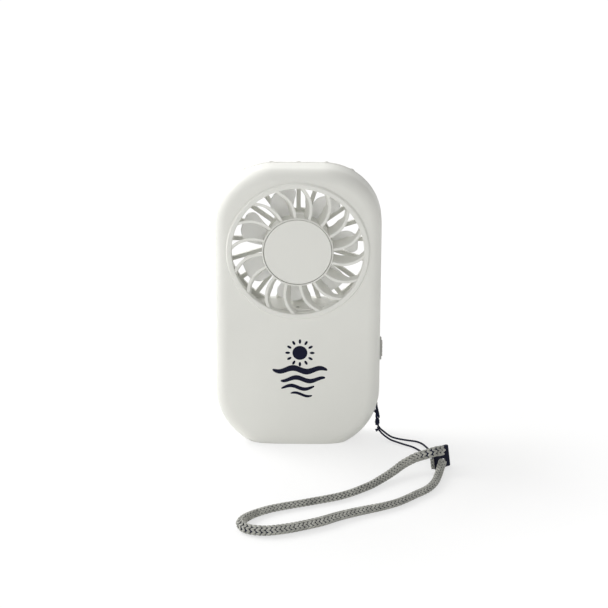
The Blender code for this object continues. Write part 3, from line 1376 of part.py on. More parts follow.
def thread_bights(navy):
    """Two turns of thread over the bar, side by side, whose ends hang into the knot."""
    wrap = BAR_R + GAP / 2 + THREAD_D / 2
    z = SCOOP_Z
    foot_z = KNOT_TOP_Z + GAP
    for side, name in ((-1, "front"), (1, "rear")):
        y = SCOOP_Y + side * BIGHT_SPREAD
        points = [(KNOT_X + THREAD_D / 2 + GAP / 2, y, foot_z)]
        for degrees in BIGHT_DEGREES:
            turn = math.radians(degrees)
            points.append((BAR_X + wrap * math.cos(turn), y, z + wrap * math.sin(turn)))
        points.append((KNOT_X - THREAD_D, y, (z - wrap + foot_z) / 2))
        points.append((KNOT_X - THREAD_D / 2 - GAP / 2, y, foot_z))
        tube(f"thread_bight_{name}", points, THREAD_D, navy, BIGHT_SPACING_SHARE)


def knots(navy):
    """The barrel knot under the bar, and the small knot at its foot."""
    low = KNOT_TOP_Z - KNOT_HEIGHT
    profile = [(0.0, low)]
    for share, wide_share in zip(KNOT_HEIGHT_SHARES, KNOT_WIDTH_SHARES):
        profile.append((KNOT_R * wide_share, low + KNOT_HEIGHT * share))
    profile.append((0.0, KNOT_TOP_Z))
    data = turned(profile, SMALL_STEPS)
    bmesh.ops.rotate(data, verts=data.verts, matrix=Matrix.Rotation(math.pi / 2, 3, "X"))
    add_object("barrel_knot", moved(data, (KNOT_X, SCOOP_Y, 0.0)), navy)
    ball = bmesh.new()
    bmesh.ops.create_uvsphere(ball, u_segments=SMALL_STEPS, v_segments=SMALL_STEPS // 2, radius=END_KNOT_R)
    add_object("end_knot", moved(ball, END_KNOT_PLACE), navy)


def strap_clip(navy, knit):
    """The clip that closes the strap, a frame with windows, and the strap's tail beside it."""
    half = CLIP_WIDTH / 2
    frame = rounded_box((-half, -CLIP_THICK / 2, 0.0), (half, CLIP_THICK / 2, CLIP_HEIGHT), CLIP_ROUND)
    clip = add_object("strap_clip", frame, navy)
    window = (CLIP_HEIGHT - CLIP_BAR * (CLIP_WINDOWS + 1)) / CLIP_WINDOWS
    for index in range(CLIP_WINDOWS):
        low = CLIP_BAR + index * (window + CLIP_BAR)
        hole = box(
            (-half + CLIP_POST, -CLIP_THICK, low),
            (half - CLIP_POST, CLIP_THICK, low + window),
        )
        cut(clip, clip_placed(add_object(f"clip_window_{index + 1}", hole, None)))
    clip_placed(clip)
    x, y = TAIL_PLACE
    tail = rounded_box(
        (x - TAIL_WIDTH / 2, y - TAIL_THICK / 2, GAP),
        (x + TAIL_WIDTH / 2, y + TAIL_THICK / 2, GAP + TAIL_LENGTH),
        TAIL_ROUND,
    )
    clip_placed(add_object("strap_tail", tail, knit))


def clip_placed(obj):
    """Stand a piece of the clip on the table, turned and leaning back."""
    obj.location = (*CLIP_PLACE, CLIP_THICK / 2 * math.sin(CLIP_LEAN))
    obj.rotation_euler = (-CLIP_LEAN, 0.0, CLIP_TURN)
    return obj


def build():
    clear_scene()
    shell = material("case_plastic", (0.80, 0.80, 0.76), 0.55)
    inner = material("inner_plastic", (0.78, 0.78, 0.75), 0.55)
    grey = material("knob_plastic", (0.60, 0.60, 0.58), 0.5)
    metal = material("bright_steel", (0.62, 0.62, 0.64), 0.3, metallic=1.0)
    bronze = material("bush_bronze", (0.60, 0.42, 0.22), 0.4, metallic=1.0)
    dark = material("magnet_dark", (0.06, 0.06, 0.065), 0.6)
    copper = material("coil_copper", (0.72, 0.38, 0.22), 0.35, metallic=1.0)
    green = material("board_green", (0.04, 0.20, 0.09), 0.5)
    clear = material("light_pipe_clear", (0.85, 0.90, 0.90), 0.15)
    wrap = material("cell_wrap", (0.10, 0.22, 0.45), 0.4)
    red = material("lead_red", (0.55, 0.05, 0.04), 0.5)
    black = material("lead_black", (0.03, 0.03, 0.03), 0.5)
    navy = material("navy_thread", (0.02, 0.03, 0.09), 0.8)
    knit = material("strap_knit", (0.38, 0.38, 0.37), 0.9)

    front_shell(shell)
    rear_shell(shell)
    front_grille(shell)
    hub_cap(shell)
    impeller(inner)
    motor(metal, dark, bronze, copper)
    case_screws(metal)
    electronics(green, dark, metal, grey, clear)
    battery(wrap)
    inner_leads(red, black)
    lanyard_bar(metal)
    thread_bights(navy)
    knots(navy)
    tube("thread_strand_upper", UPPER_STRAND_ROUTE, THREAD_D, navy)
    tube("thread_strand_lower", LOWER_STRAND_ROUTE, THREAD_D, navy)
    tube("wrist_strap", STRAP_ROUTE, STRAP_D, knit, STRAP_SPACING_SHARE, STRAP_RESOLUTION)
    strap_clip(navy, knit)
    for name in MANY_CUTS:
        weld(bpy.data.objects[name])


build()
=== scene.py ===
"""Pocket fan: the looks. Metres, +Z up; the front faces -Y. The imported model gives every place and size."""

import math

import bmesh
import bpy
from mathutils import Matrix, Vector
from mathutils.geometry import interpolate_bezier


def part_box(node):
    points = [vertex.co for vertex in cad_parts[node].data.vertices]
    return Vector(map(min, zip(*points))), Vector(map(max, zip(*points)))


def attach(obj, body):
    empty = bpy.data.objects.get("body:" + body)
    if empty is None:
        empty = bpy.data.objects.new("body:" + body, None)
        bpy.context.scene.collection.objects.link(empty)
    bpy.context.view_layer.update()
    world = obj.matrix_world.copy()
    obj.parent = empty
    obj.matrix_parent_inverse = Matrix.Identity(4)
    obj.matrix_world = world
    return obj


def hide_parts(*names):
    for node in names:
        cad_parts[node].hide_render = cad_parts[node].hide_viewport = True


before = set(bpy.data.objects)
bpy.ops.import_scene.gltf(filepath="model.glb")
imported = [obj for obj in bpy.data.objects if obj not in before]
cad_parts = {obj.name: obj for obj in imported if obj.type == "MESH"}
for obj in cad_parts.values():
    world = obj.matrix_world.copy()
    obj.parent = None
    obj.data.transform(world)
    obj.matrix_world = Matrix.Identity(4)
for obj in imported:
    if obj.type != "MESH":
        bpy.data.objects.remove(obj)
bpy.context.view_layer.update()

MM = 0.001
TINY = 0.002 * MM


def centre_of(name):
    low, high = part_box(name)
    return (low + high) / 2


def radius_of(name):
    """Half the width of a round piece."""
    low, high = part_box(name)
    return (high.x - low.x) / 2


# Camera, fitted to the photograph's outlines
CAMERA_AIM = (2.316 * MM, 0.0, 55.87 * MM)
CAMERA_DISTANCE = 893.0 * MM
CAMERA_AZIMUTH = math.radians(0.762)
CAMERA_ELEVATION = math.radians(20.889)
CAMERA_ROLL = math.radians(0.178)
CAMERA_LENS = 135.94
SENSOR_WIDTH = 36.0

# Case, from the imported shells
FRONT_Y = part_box("front_shell")[0].y
SIDE_X, PARTING_Y, TOP_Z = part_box("front_shell")[1]
REAR_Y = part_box("rear_shell")[1].y
TOP_CORNER_R = 22.6 * MM
BOTTOM_CORNER_R = 25.7 * MM
BASE_CUT = 3.6 * MM
EDGE_R = 5.0 * MM
WALL = 2.0 * MM
SEAM_GAP = 0.3 * MM
SEAM_ROUND = 0.15 * MM
LIP_WALL = 0.85 * MM
LIP_LENGTH = 1.2 * MM
OVERRUN = 1.0 * MM
EMBED = 0.5 * MM
GAP = 0.3 * MM
SIDE_INNER_X = SIDE_X - WALL
REAR_SEAM_Y = PARTING_Y + SEAM_GAP
FRONT_INNER_Y = FRONT_Y + WALL
REAR_INNER_Y = REAR_Y - WALL

# Fan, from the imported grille, cap and wheel
FAN_Z = centre_of("hub_cap").z
FAN_PLACE = (0.0, 0.0, FAN_Z)
GRILLE_R = radius_of("front_grille")
FACE_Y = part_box("front_grille")[0].y
HUB_CAP_R = radius_of("hub_cap")
WHEEL_FRONT_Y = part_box("impeller")[0].y
OUTLET_R = GRILLE_R - 0.9 * MM
INTAKE_R = GRILLE_R - 0.4 * MM
INTAKE_ROUND = 0.4 * MM
FLOOR_Z = FAN_Z - GRILLE_R + 3.4 * MM
FLOOR_WALL = 1.5 * MM
PEEP_HOLE_R = 0.75 * MM
PEEP_HOLE_Y = FRONT_Y + 4.9 * MM
BEZEL_R = GRILLE_R - 0.2 * MM
BEZEL_GAP = 0.02 * MM
BEZEL_INNER_R = BEZEL_R - 2.3 * MM
BEZEL_THICK = 1.3 * MM
BEZEL_SLOPE = 0.6 * MM
BEZEL_INNER_ROUND = 0.45 * MM
SKIRT_WALL = 1.4 * MM
SKIRT_BACK_Y = FRONT_INNER_Y + 0.3 * MM
GRILLE_BACK_Y = WHEEL_FRONT_Y - GAP
HUB_RING_R = HUB_CAP_R + 0.8 * MM
HUB_RING_WALL = 0.6 * MM
HUB_FLOOR_Y = FACE_Y + 1.65 * MM
HUB_FLOOR_THICK = 1.1 * MM
HUB_CAP_THICK = 1.2 * MM
CAP_ROUND = 0.25 * MM
FIN_COUNT = 16
FIN_THICK = 1.15 * MM
FIN_ROUND = 0.22 * MM
FIN_SWEEP = math.radians(17.0)
FIN_FIRST = math.radians(18.5)
FIN_SET_BACK = 0.5 * MM
FIN_DEPTH = 4.6 * MM
FIN_SET_OVER = 1.8 * MM
FIN_TAPER_SHARE = 0.8
FIN_DEEP_SHARE = 0.5
FIN_SHALLOW_SHARE = 0.75

# Rear spokes and motor plate
SPOKE_COUNT = 20
SPOKE_WIDTH = 1.7 * MM
SPOKE_THICK = 1.5 * MM
SPOKE_SET_BACK = 0.4 * MM
SPOKE_ROUND = 0.25 * MM
MOTOR_PLATE_R = 12.6 * MM
MOTOR_PLATE_THICK = 1.6 * MM
MOTOR_PLATE_SET_BACK = 0.2 * MM
PLATE_ROUND = 0.4 * MM
MOTOR_R = 10.0 * MM
SEAT_WALL = 1.1 * MM
SEAT_HEIGHT = 2.4 * MM
LEAD_SLOT_WIDTH = 3.4 * MM
LEAD_SLOT_DEPTH = 1.7 * MM
LEAD_COVER_WIDTH = 4.2 * MM
LEAD_COVER_THICK = 0.8 * MM

# Impeller
BLADE_COUNT = 7
BLADE_TIP_R = 23.0 * MM
BLADE_THICK = 1.0 * MM
BLADE_FRONT_Y = WHEEL_FRONT_Y + 0.3 * MM
BLADE_BACK_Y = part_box("impeller")[1].y
BLADE_ARC = math.radians(33.0)
BLADE_SWEEP = math.radians(9.0)
# The wheel stands 9.5 degrees round from its solid, as in the photograph
BLADE_FIRST = math.radians(-24.0)
TIP_ROUND_START_SHARE = 0.62
TIP_ROUND_SHARE = 0.42
BLADE_ROOT_SHARE = 0.78
BLADE_FLATTER_SHARE = 0.12
BLADE_EDGE_SHARE = 0.55
BLADE_EDGE_ROUND = 0.22 * MM
BLADE_EDGE_ANGLE = math.radians(55.0)
WHEEL_HUB_R = 12.2 * MM
WHEEL_HUB_WALL = 1.3 * MM
WHEEL_FACE_THICK = 1.2 * MM
WHEEL_BACK_Y = BLADE_BACK_Y - 0.8 * MM
WHEEL_ROUND = 0.6 * MM
SHAFT_HOLE_R = 1.05 * MM

# Grip ribs on top
RIB_COUNT = 5
RIB_PITCH = 10.6 * MM
RIB_HALF_WIDTH = 1.5 * MM
RIB_PROUD = 0.36 * MM
RIB_SUNK = 0.03 * MM
RIB_END_GAP = 0.6 * MM

# Screws in the back
SLEEVE_R = 3.2 * MM
SLEEVE_FRONT_Y = PARTING_Y + 1.3 * MM
SCREW_SUNK = 0.9 * MM
# Shares of a screw: its head of the whole length, and the rest of the head's radius or height
CASE_HEAD_SHARE = 0.14
MOTOR_HEAD_SHARE = 0.3
SHANK_SHARE = 0.45
HEAD_ROUND_SHARE = 0.25
RECESS_ARM_SHARE = 0.55
RECESS_SLIM_SHARE = 0.13
RECESS_DEPTH_SHARE = 0.6
CASE_SCREWS = [f"case_screw_{level}_{side}" for level in ("lower", "upper") for side in ("left", "right")]
MOTOR_SCREWS = ("motor_screw_left", "motor_screw_right")

# Switch, charging socket and light pipe
KNOB_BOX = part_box("switch_knob")
_, SIDE_PORT_Y, SWITCH_Z = centre_of("switch_knob")
KNOB_HEIGHT = 8.3 * MM
KNOB_WIDTH = 4.0 * MM
KNOB_TRAVEL = 3.0 * MM
KNOB_ROUND = 0.3 * MM
KNOB_RIDGES = 4
KNOB_RIDGE_PITCH = 1.6 * MM
KNOB_RIDGE_WIDTH = 0.8 * MM
KNOB_GROOVE_DEPTH = 0.35 * MM
SHUTTER_THICK = 1.1 * MM
SHUTTER_WIDTH = 5.0 * MM
TONGUE_SIDE = 1.8 * MM
SOCKET_WIDTH = 8.9 * MM
SOCKET_THICK = 3.2 * MM
SOCKET_SHELL = 0.4 * MM
# A hair less than half, so that the round ends of a slot don't meet
SLOT_ROUND_SHARE = 0.999
SOCKET_TONGUE = 0.7 * MM
SOCKET_TONGUE_LENGTH = 5.4 * MM
SOCKET_Z = centre_of("charging_socket").z
LIGHT_R = 0.9 * MM
LIGHT_Z = centre_of("charge_light_pipe").z

# Lanyard scoop and bar
BAR_X, _, BAR_Z = centre_of("lanyard_bar")
SCOOP_Y = centre_of("barrel_knot").y
SCOOP_CENTRE = (SIDE_X + 2.0 * MM, SCOOP_Y, BAR_Z)
SCOOP_RADII = (7.2 * MM, 4.6 * MM, 7.0 * MM)
SCOOP_WALL = 1.6 * MM
BAR_R = 0.9 * MM
BAR_END_ROUND = 0.2 * MM

# Thread, knots, strap and clip
THREAD_D = 0.8 * MM
THREAD_LOBES = 3
LOBE_STEPS = 7
THREAD_LOBE_SHARE = 0.16
THREAD_TURN = 2.6 * MM
THREAD_STEP = 0.35 * MM
BIGHT_SPREAD = 0.6 * MM
BIGHT_THREAD_D = 0.95 * MM
BIGHT_DEGREES = (-20, 20, 60, 100, 140, 180, 220, 250)
KNOT_X = centre_of("barrel_knot").x
KNOT_TOP_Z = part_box("barrel_knot")[1].z
KNOT_HEIGHT = 3.6 * MM
KNOT_THREAD_D = 0.78 * MM
KNOT_COIL_R = 0.61 * MM
KNOT_TURNS = 4.5
KNOT_END_SHARE = 0.55
KNOT_TURN_STEPS = 10
END_KNOT_STEPS = 36
END_KNOT_PLACE = centre_of("end_knot")
END_KNOT_R = 0.42 * MM
END_KNOT_THREAD_D = 0.62 * MM
STRAP_D = 4.0 * MM
STITCH_PITCH = 1.7 * MM
STITCH_COLUMNS = 6
STITCH_SLANT = math.radians(24.0)
LEG_WIDTH_SHARE = 0.78
LEG_LENGTH_SHARE = 0.66
LEG_SPREAD_SHARE = 0.22
LEG_DEPTH_SHARE = 0.9
CORE_SUNK_SHARE = 0.35
# Where the strap is pulled thinner: a share of its length and its diameter there over the slack one
STRAP_WAIST = (
    (0.0, 1.0), (0.05, 0.96), (0.1, 0.86), (0.16, 0.8), (0.22, 0.75), (0.34, 0.73),
    (0.43, 0.77), (0.48, 0.93), (0.52, 0.98), (0.66, 0.95), (0.71, 0.88), (0.76, 0.82),
    (0.8, 0.76), (0.9, 0.76), (0.96, 0.8), (1.0, 0.84),
)
TAIL_PLACE = (-5.2 * MM, -1.2 * MM)
TAIL_LENGTH = 5.4 * MM
TAIL_R = 0.72 * MM
TAIL_COLUMNS = 4
CLIP_PLACE = (56.1 * MM, -29.5 * MM)
CLIP_TURN = math.radians(36.0)
CLIP_LEAN = math.radians(12.0)
CLIP_WIDTH = 7.4 * MM
CLIP_HEIGHT = 8.4 * MM
CLIP_THICK = 1.6 * MM
CLIP_POST = 1.8 * MM
CLIP_BAR = 1.3 * MM
CLIP_ROUND = 0.45 * MM
CLIP_STEPS = 5
CLIP_EDGE_ROUND = CLIP_ROUND / 3
CLIP_EDGE_ANGLE = math.radians(50.0)

# Routes in metres: those of the part's source, with some heights raised to fit the photograph
UPPER_STRAND_ROUTE = (
    (0.0319, 0.0008, 0.0042), (0.0324, 0.0001, 0.0036), (0.0330, -0.0008, 0.0033),
    (0.0339, -0.0019, 0.0030), (0.0353, -0.0031, 0.0023), (0.0374, -0.0041, 0.0014),
    (0.0405, -0.0049, 0.0009), (0.0440, -0.0055, 0.0006), (0.0468, -0.0062, 0.0005),
    (0.0487, -0.0080, 0.0006), (0.0499, -0.0110, 0.0010), (0.0508, -0.0148, 0.0017),
    (0.0518, -0.0187, 0.0025), (0.0528, -0.0222, 0.0032), (0.0537, -0.0254, 0.0037),
    (0.0543, -0.0281, 0.0039),
)
LOWER_STRAND_ROUTE = (
    (0.0317, -0.0004, 0.0042), (0.0320, -0.0010, 0.0034), (0.0326, -0.0020, 0.0030),
    (0.0334, -0.0031, 0.0025), (0.0348, -0.0044, 0.0018), (0.0368, -0.0058, 0.0010),
    (0.0395, -0.0075, 0.0007), (0.0424, -0.0093, 0.0005), (0.0452, -0.0113, 0.0005),
    (0.0471, -0.0141, 0.0007), (0.0484, -0.0173, 0.0012), (0.0496, -0.0206, 0.0018),
    (0.0508, -0.0237, 0.0026), (0.0519, -0.0266, 0.0034), (0.0528, -0.0291, 0.0039),
)
STRAP_ROUTE = (
    (0.0561, -0.0318, 0.0083), (0.0545, -0.0327, 0.0087), (0.0523, -0.0340, 0.0087),
    (0.0500, -0.0342, 0.0080), (0.0478, -0.0337, 0.0071), (0.0455, -0.0334, 0.0061),
    (0.0430, -0.0342, 0.0051), (0.0405, -0.0357, 0.0043), (0.0364, -0.0401, 0.0031),
    (0.0315, -0.0456, 0.0024), (0.0268, -0.0505, 0.0021), (0.0174, -0.0582, 0.0021),
    (0.0050, -0.0639, 0.0021), (-0.0072, -0.0691, 0.0021), (-0.0145, -0.0741, 0.0021),
    (-0.0185, -0.0793, 0.0021), (-0.0192, -0.0840, 0.0021), (-0.0163, -0.0877, 0.0021),
    (-0.0103, -0.0889, 0.0021), (-0.0032, -0.0871, 0.0021), (0.0035, -0.0842, 0.0021),
    (0.0105, -0.0804, 0.0021), (0.0162, -0.0762, 0.0021), (0.0235, -0.0719, 0.0021),
    (0.0325, -0.0673, 0.0021), (0.0391, -0.0628, 0.0021), (0.0448, -0.0570, 0.0021),
    (0.0497, -0.0518, 0.0021), (0.0524, -0.0466, 0.0021), (0.0539, -0.0410, 0.0022),
    (0.0551, -0.0359, 0.0032), (0.0561, -0.0327, 0.0046),
)

# Print
PRINT_X = 0.9 * MM
PRINT_Z = 29.5 * MM
PRINT_WIDTH = 21.5 * MM
INK_PROUD = 0.03 * MM
INK_SUNK = 0.03 * MM
SUN_Z = 9.3 * MM
SUN_R = 2.9 * MM
SUN_GAP = 0.9 * MM
SUN_RAYS = 12
RAY_LENGTH = 1.9 * MM
RAY_WIDTH = 1.0 * MM
# Each breeze band: its height from the middle, its length and thickness, and how far it is set aside
BANDS = (
    (2.2 * MM, 21.5 * MM, 2.5 * MM, 0.0),
    (-1.8 * MM, 17.5 * MM, 2.0 * MM, 1.2 * MM),
    (-5.2 * MM, 13.0 * MM, 1.6 * MM, -0.8 * MM),
    (-8.2 * MM, 8.5 * MM, 1.2 * MM, 0.6 * MM),
)
BAND_RISE = 0.75 * MM
BAND_WAVES = 2
BAND_TIP_POWER = 0.7

# The pieces that stay as they are packed, by their look
KEPT = {
    "steel": ("motor_can", "motor_shaft", "board_screw_left", "board_screw_right", "switch_body"),
    "dark": ("motor_end_cap", "motor_magnet"),
    "bronze": ("motor_bush_front", "motor_bush_rear"),
    "copper": ("motor_armature",),
    "board": ("circuit_board",),
    "chip": ("control_chip",),
    "cell": ("battery_cell",),
    "red": ("motor_lead_red", "battery_lead_red"),
    "black": ("motor_lead_black", "battery_lead_black"),
}

# Stage
FLOOR_SIZE = 6.0
# How white the floor is seen near the object, and from how far out it is all white
FLOOR_SEEN_SHARE = 0.6
FLOOR_SHADOW_R = 90.0 * MM
FLOOR_WHITE_R = 170.0 * MM
FLOOR_SEEN_STRENGTH = 1.05
# Each lamp: its azimuth and elevation in degrees, distance, size and power
LAMPS = {
    "window_lamp": (250.0, 36.0, 0.9, 0.6, 6.5),
    "rear_lamp": (198.0, 28.0, 1.0, 0.8, 2.4),
    "front_lamp": (-16.0, 16.0, 1.2, 1.0, 2.9),
}
WORLD_STRENGTH = 0.46
FLOOR_DROP = 0.01 * MM

# Bumps of the mould grain and of the fibres
GRAIN_BUMP = 0.05 * MM
FIBRE_BUMP = 0.08 * MM

# Fineness
CORNER_STEPS = 28
EDGE_STEPS = 10
ROUND_STEPS = 160
SMALL_STEPS = 40
FILLET_STEPS = 4
CURVE_STEPS = 12
FINE_STEPS = 2
SLOT_STEPS = 12
LEG_STEPS = (8, 6)
FIN_CUTS = 19
BLADE_GRID = (14, 26)
RIB_GRID = (14, 12)
SHARP_ANGLE = math.radians(35.0)


# Camera

def place_object(name, data):
    obj = bpy.data.objects.new(name, data)
    bpy.context.scene.collection.objects.link(obj)
    return obj


def aimed(name, data, target, azimuth, elevation, distance, roll=0.0):
    """A camera or lamp that looks at its target. The azimuth goes round from the front to the right."""
    flat = math.cos(elevation)
    back = Vector((math.sin(azimuth) * flat, -math.cos(azimuth) * flat, math.sin(elevation)))
    turn = back.to_track_quat("Z", "Y").to_matrix() @ Matrix.Rotation(roll, 3, "Z")
    obj = place_object(name, data)
    obj.matrix_world = Matrix.LocRotScale(Vector(target) + back * distance, turn, None)
    return obj


def make_camera():
    data = bpy.data.cameras.new("camera")
    data.lens = CAMERA_LENS
    data.sensor_width = SENSOR_WIDTH
    angles = (CAMERA_AZIMUTH, CAMERA_ELEVATION)
    bpy.context.scene.camera = aimed("camera", data, CAMERA_AIM, *angles, CAMERA_DISTANCE, CAMERA_ROLL)


# Meshes


def mesh_from(name, data):
    mesh = bpy.data.meshes.new(name)
    data.to_mesh(mesh)
    data.free()
    return mesh


def piece_from(name, data):
    """An object from a bmesh."""
    return place_object(name, mesh_from(name, data))


def shaped_mesh(obj):
    """The object's mesh with its modifiers, or its curve, worked out."""
    depsgraph = bpy.context.evaluated_depsgraph_get()
    return bpy.data.meshes.new_from_object(obj.evaluated_get(depsgraph))


def carve(target, operation, *cutters, solver="EXACT"):
    """Cut, join or trim target with the cutters, bmeshes or pieces, which are then removed."""
    pieces = []
    for cutter in cutters:
        is_shape = isinstance(cutter, bmesh.types.BMesh)
        pieces.append(piece_from("cutter", cutter) if is_shape else cutter)
        step = target.modifiers.new("carve", "BOOLEAN")
        step.operation = operation
        step.solver = solver
        step.object = pieces[-1]
    mesh = shaped_mesh(target)
    target.modifiers.clear()
    target.data = mesh
    for piece in pieces:
        bpy.data.objects.remove(piece)
    return target


def complete(obj, look, slot, *nodes, body="housing", soften=True):
    """Give a finished piece its material, shading and body, and hide the nodes that it stands for. The
    material slot is not used.
    """
    finish = LOOKS[look]
    if obj.type == "MESH":
        obj.data.materials.clear()
        obj.data.materials.append(finish)
        obj.data.polygons.foreach_set("material_index", [0] * len(obj.data.polygons))
        obj.data.shade_smooth()
        if soften:
            obj.data.set_sharp_from_angle(angle=SHARP_ANGLE)
            weighting = obj.modifiers.new("even_shading", "WEIGHTED_NORMAL")
            weighting.keep_sharp = True
    else:
        obj.data.materials.append(finish)
    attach(obj, body)
    if nodes:
        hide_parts(*nodes)
    return obj


def edges_along(data, axis, least=TINY):
    """The edges that reach further than least along an axis: 0 for X, 1 for Y, 2 for Z."""
    return [edge for edge in data.edges if abs(edge.verts[0].co[axis] - edge.verts[1].co[axis]) > least]


def bevel(data, edges, width, segments):
    bmesh.ops.bevel(
        data, geom=edges, offset=width, segments=segments, profile=0.5, affect="EDGES", material=-1
    )


def thicken(data, reach):
    """Give a flat sheet its thickness."""
    far = bmesh.ops.extrude_face_region(data, geom=data.faces[:])["geom"]
    verts = [part for part in far if isinstance(part, bmesh.types.BMVert)]
    bmesh.ops.translate(data, verts=verts, vec=reach)
    return data


def thick_grid(steps, height):
    """A block one metre long and wide, in a grid of steps, that is bent to shape later."""
    data = bmesh.new()
    bmesh.ops.create_grid(data, x_segments=steps[0], y_segments=steps[1], size=0.5)
    return thicken(data, (0.0, 0.0, height))


def faces_out(data):
    bmesh.ops.remove_doubles(data, verts=data.verts, dist=TINY)
    bmesh.ops.recalc_face_normals(data, faces=data.faces)
    return data


def moved(data, place):
    bmesh.ops.translate(data, verts=data.verts, vec=place)
    return data


def rotated(data, angle, axis):
    bmesh.ops.rotate(data, verts=data.verts, matrix=Matrix.Rotation(angle, 3, axis))
    return data


def block(low, high, edge_round=0.0, segments=3):
    """A box between two corners, with rounded edges."""
    data = bmesh.new()
    bmesh.ops.create_cube(data, size=1.0)
    bmesh.ops.scale(data, verts=data.verts, vec=[b - a for a, b in zip(low, high)])
    if edge_round:
        bevel(data, data.edges[:], edge_round, segments)
    return moved(data, [(a + b) / 2 for a, b in zip(low, high)])


def rounded_outline(corners):
    """A closed outline of square (radius, y) corners, with an arc where a corner has a rounding too."""
    points = []
    count = len(corners)
    for index, (x, y, *given) in enumerate(corners):
        rounding = given[0] if given else 0.0
        here = Vector((x, y))
        to_before = (Vector(corners[index - 1][:2]) - here).normalized()
        to_after = (Vector(corners[(index + 1) % count][:2]) - here).normalized()
        if not rounding:
            points.append(here)
            continue
        centre = here + (to_before + to_after) * rounding
        for step in range(FILLET_STEPS + 1):
            turn = math.pi / 2 * step / FILLET_STEPS
            reach = to_after * math.cos(turn) + to_before * math.sin(turn)
            points.append(centre - reach * rounding)
    return [point for index, point in enumerate(points) if (point - points[index - 1]).length > TINY]


def turned(corners, steps=ROUND_STEPS, place=(0.0, 0.0, 0.0)):
    """A shape turned about an axis along Y, from the corners of its section."""
    data = bmesh.new()
    verts = [data.verts.new((point.x, point.y, 0.0)) for point in rounded_outline(corners)]
    for first, second in zip(verts, verts[1:] + verts[:1]):
        if first.co.x > TINY or second.co.x > TINY:
            data.edges.new((first, second))
    bmesh.ops.spin(
        data,
        geom=data.verts[:] + data.edges[:],
        cent=(0.0, 0.0, 0.0),
        axis=(0.0, 1.0, 0.0),
        angle=math.tau,
        steps=steps,
        use_merge=True,
    )
    return moved(faces_out(data), place)


def fan_turned(*corners, steps=ROUND_STEPS):
    return turned(corners, steps, FAN_PLACE)


def rod(radius, y_from, y_to, x, z, steps=SMALL_STEPS, end_round=0.0):
    corners = ((0.0, y_from, 0.0), (radius, y_from, end_round), (radius, y_to, end_round), (0.0, y_to, 0.0))
    return turned(corners, steps, (x, 0.0, z))


def ball(centre, radii, around=2 * SMALL_STEPS, rows=SMALL_STEPS):
    data = bmesh.new()
    bmesh.ops.create_uvsphere(data, u_segments=around, v_segments=rows, radius=1.0)
    bmesh.ops.scale(data, verts=data.verts, vec=radii)
    return moved(data, centre)


def slab(inset, y_from, y_to, front_round=0.0, back_round=0.0):
    """The case's outline drawn in by inset, as a block between two depths with rounded rims."""
    low_z, high_z = inset - BASE_CUT, TOP_Z - inset
    half_width = SIDE_X - inset
    data = block((-half_width, y_from, low_z), (half_width, y_to, high_z))
    middle_z = (low_z + high_z) / 2
    for upper, radius in ((True, TOP_CORNER_R - inset), (False, BOTTOM_CORNER_R - inset)):
        corners = [edge for edge in edges_along(data, 1) if (edge.verts[0].co.z > middle_z) == upper]
        bevel(data, corners, radius, CORNER_STEPS)
    for y, radius in ((y_from, front_round), (y_to, back_round)):
        if not radius:
            continue
        rim = [edge for edge in data.edges if all(abs(vert.co.y - y) < TINY for vert in edge.verts)]
        bevel(data, rim, radius, EDGE_STEPS if radius > WALL else FINE_STEPS)
    everything = data.verts[:] + data.edges[:] + data.faces[:]
    parted = bmesh.ops.bisect_plane(
        data, geom=everything, plane_co=(0.0, 0.0, inset), plane_no=(0.0, 0.0, -1.0), clear_outer=True
    )
    sawn = [part for part in parted["geom_cut"] if isinstance(part, bmesh.types.BMEdge)]
    bmesh.ops.edgeloop_fill(data, edges=sawn)
    return faces_out(data)


def port_block(x_from, x_to, width, z_from, z_to, edge_round=0.0):
    """A block behind or in the side wall, centred on the side ports' depth."""
    return block(
        (x_from, SIDE_PORT_Y - width / 2, z_from), (x_to, SIDE_PORT_Y + width / 2, z_to), edge_round
    )


def slot_along_x(width, thick, x_from, x_to, z, grown=0.0):
    """A bar along X whose section is a slot with round ends, tall in Z, at the side ports' depth."""
    half_thick = thick / 2 + grown
    half_width = width / 2 + grown
    data = block((x_from, -half_thick, -half_width), (x_to, half_thick, half_width))
    bevel(data, edges_along(data, 0), half_thick * SLOT_ROUND_SHARE, SLOT_STEPS)
    return moved(faces_out(data), (0.0, SIDE_PORT_Y, z))


# Routes

def smooth_line(points, spacing):
    """Points at an even spacing along a smooth curve through the given ones, and its length."""
    fine = []
    count = len(points)
    for index in range(count - 1):
        here, after = Vector(points[index]), Vector(points[index + 1])
        before = Vector(points[index - 1]) if index else here * 2 - after
        beyond = Vector(points[index + 2]) if index + 2 < count else after * 2 - here
        leave = here + (after - before) / 6
        arrive = after - (beyond - here) / 6
        fine += interpolate_bezier(here, leave, arrive, after, CURVE_STEPS)[: CURVE_STEPS - 1]
    fine.append(Vector(points[-1]))
    lengths = [0.0]
    for first, second in zip(fine[:-1], fine[1:]):
        lengths.append(lengths[-1] + (second - first).length)
    wanted = max(round(lengths[-1] / spacing), 2)
    line = []
    index = 0
    for step in range(wanted + 1):
        along = lengths[-1] * step / wanted
        while index < len(lengths) - 2 and lengths[index + 1] < along:
            index += 1
        share = (along - lengths[index]) / (lengths[index + 1] - lengths[index])
        line.append(fine[index].lerp(fine[index + 1], share))
    return line, lengths[-1]


def frames_along(line):
    """A matrix for each point: z runs along the line and y is as near up as it can be."""
    frames = []
    for index, point in enumerate(line):
        before = line[max(index - 1, 0)]
        after = line[min(index + 1, len(line) - 1)]
        along = (after - before).normalized()
        aside = Vector((0.0, 0.0, 1.0)).cross(along)
        aside = aside.normalized() if aside.length > TINY else Vector((1.0, 0.0, 0.0))
        up = along.cross(aside)
        turn = Matrix((aside, up, along)).transposed()
        frames.append(Matrix.LocRotScale(point, turn, None))
    return frames


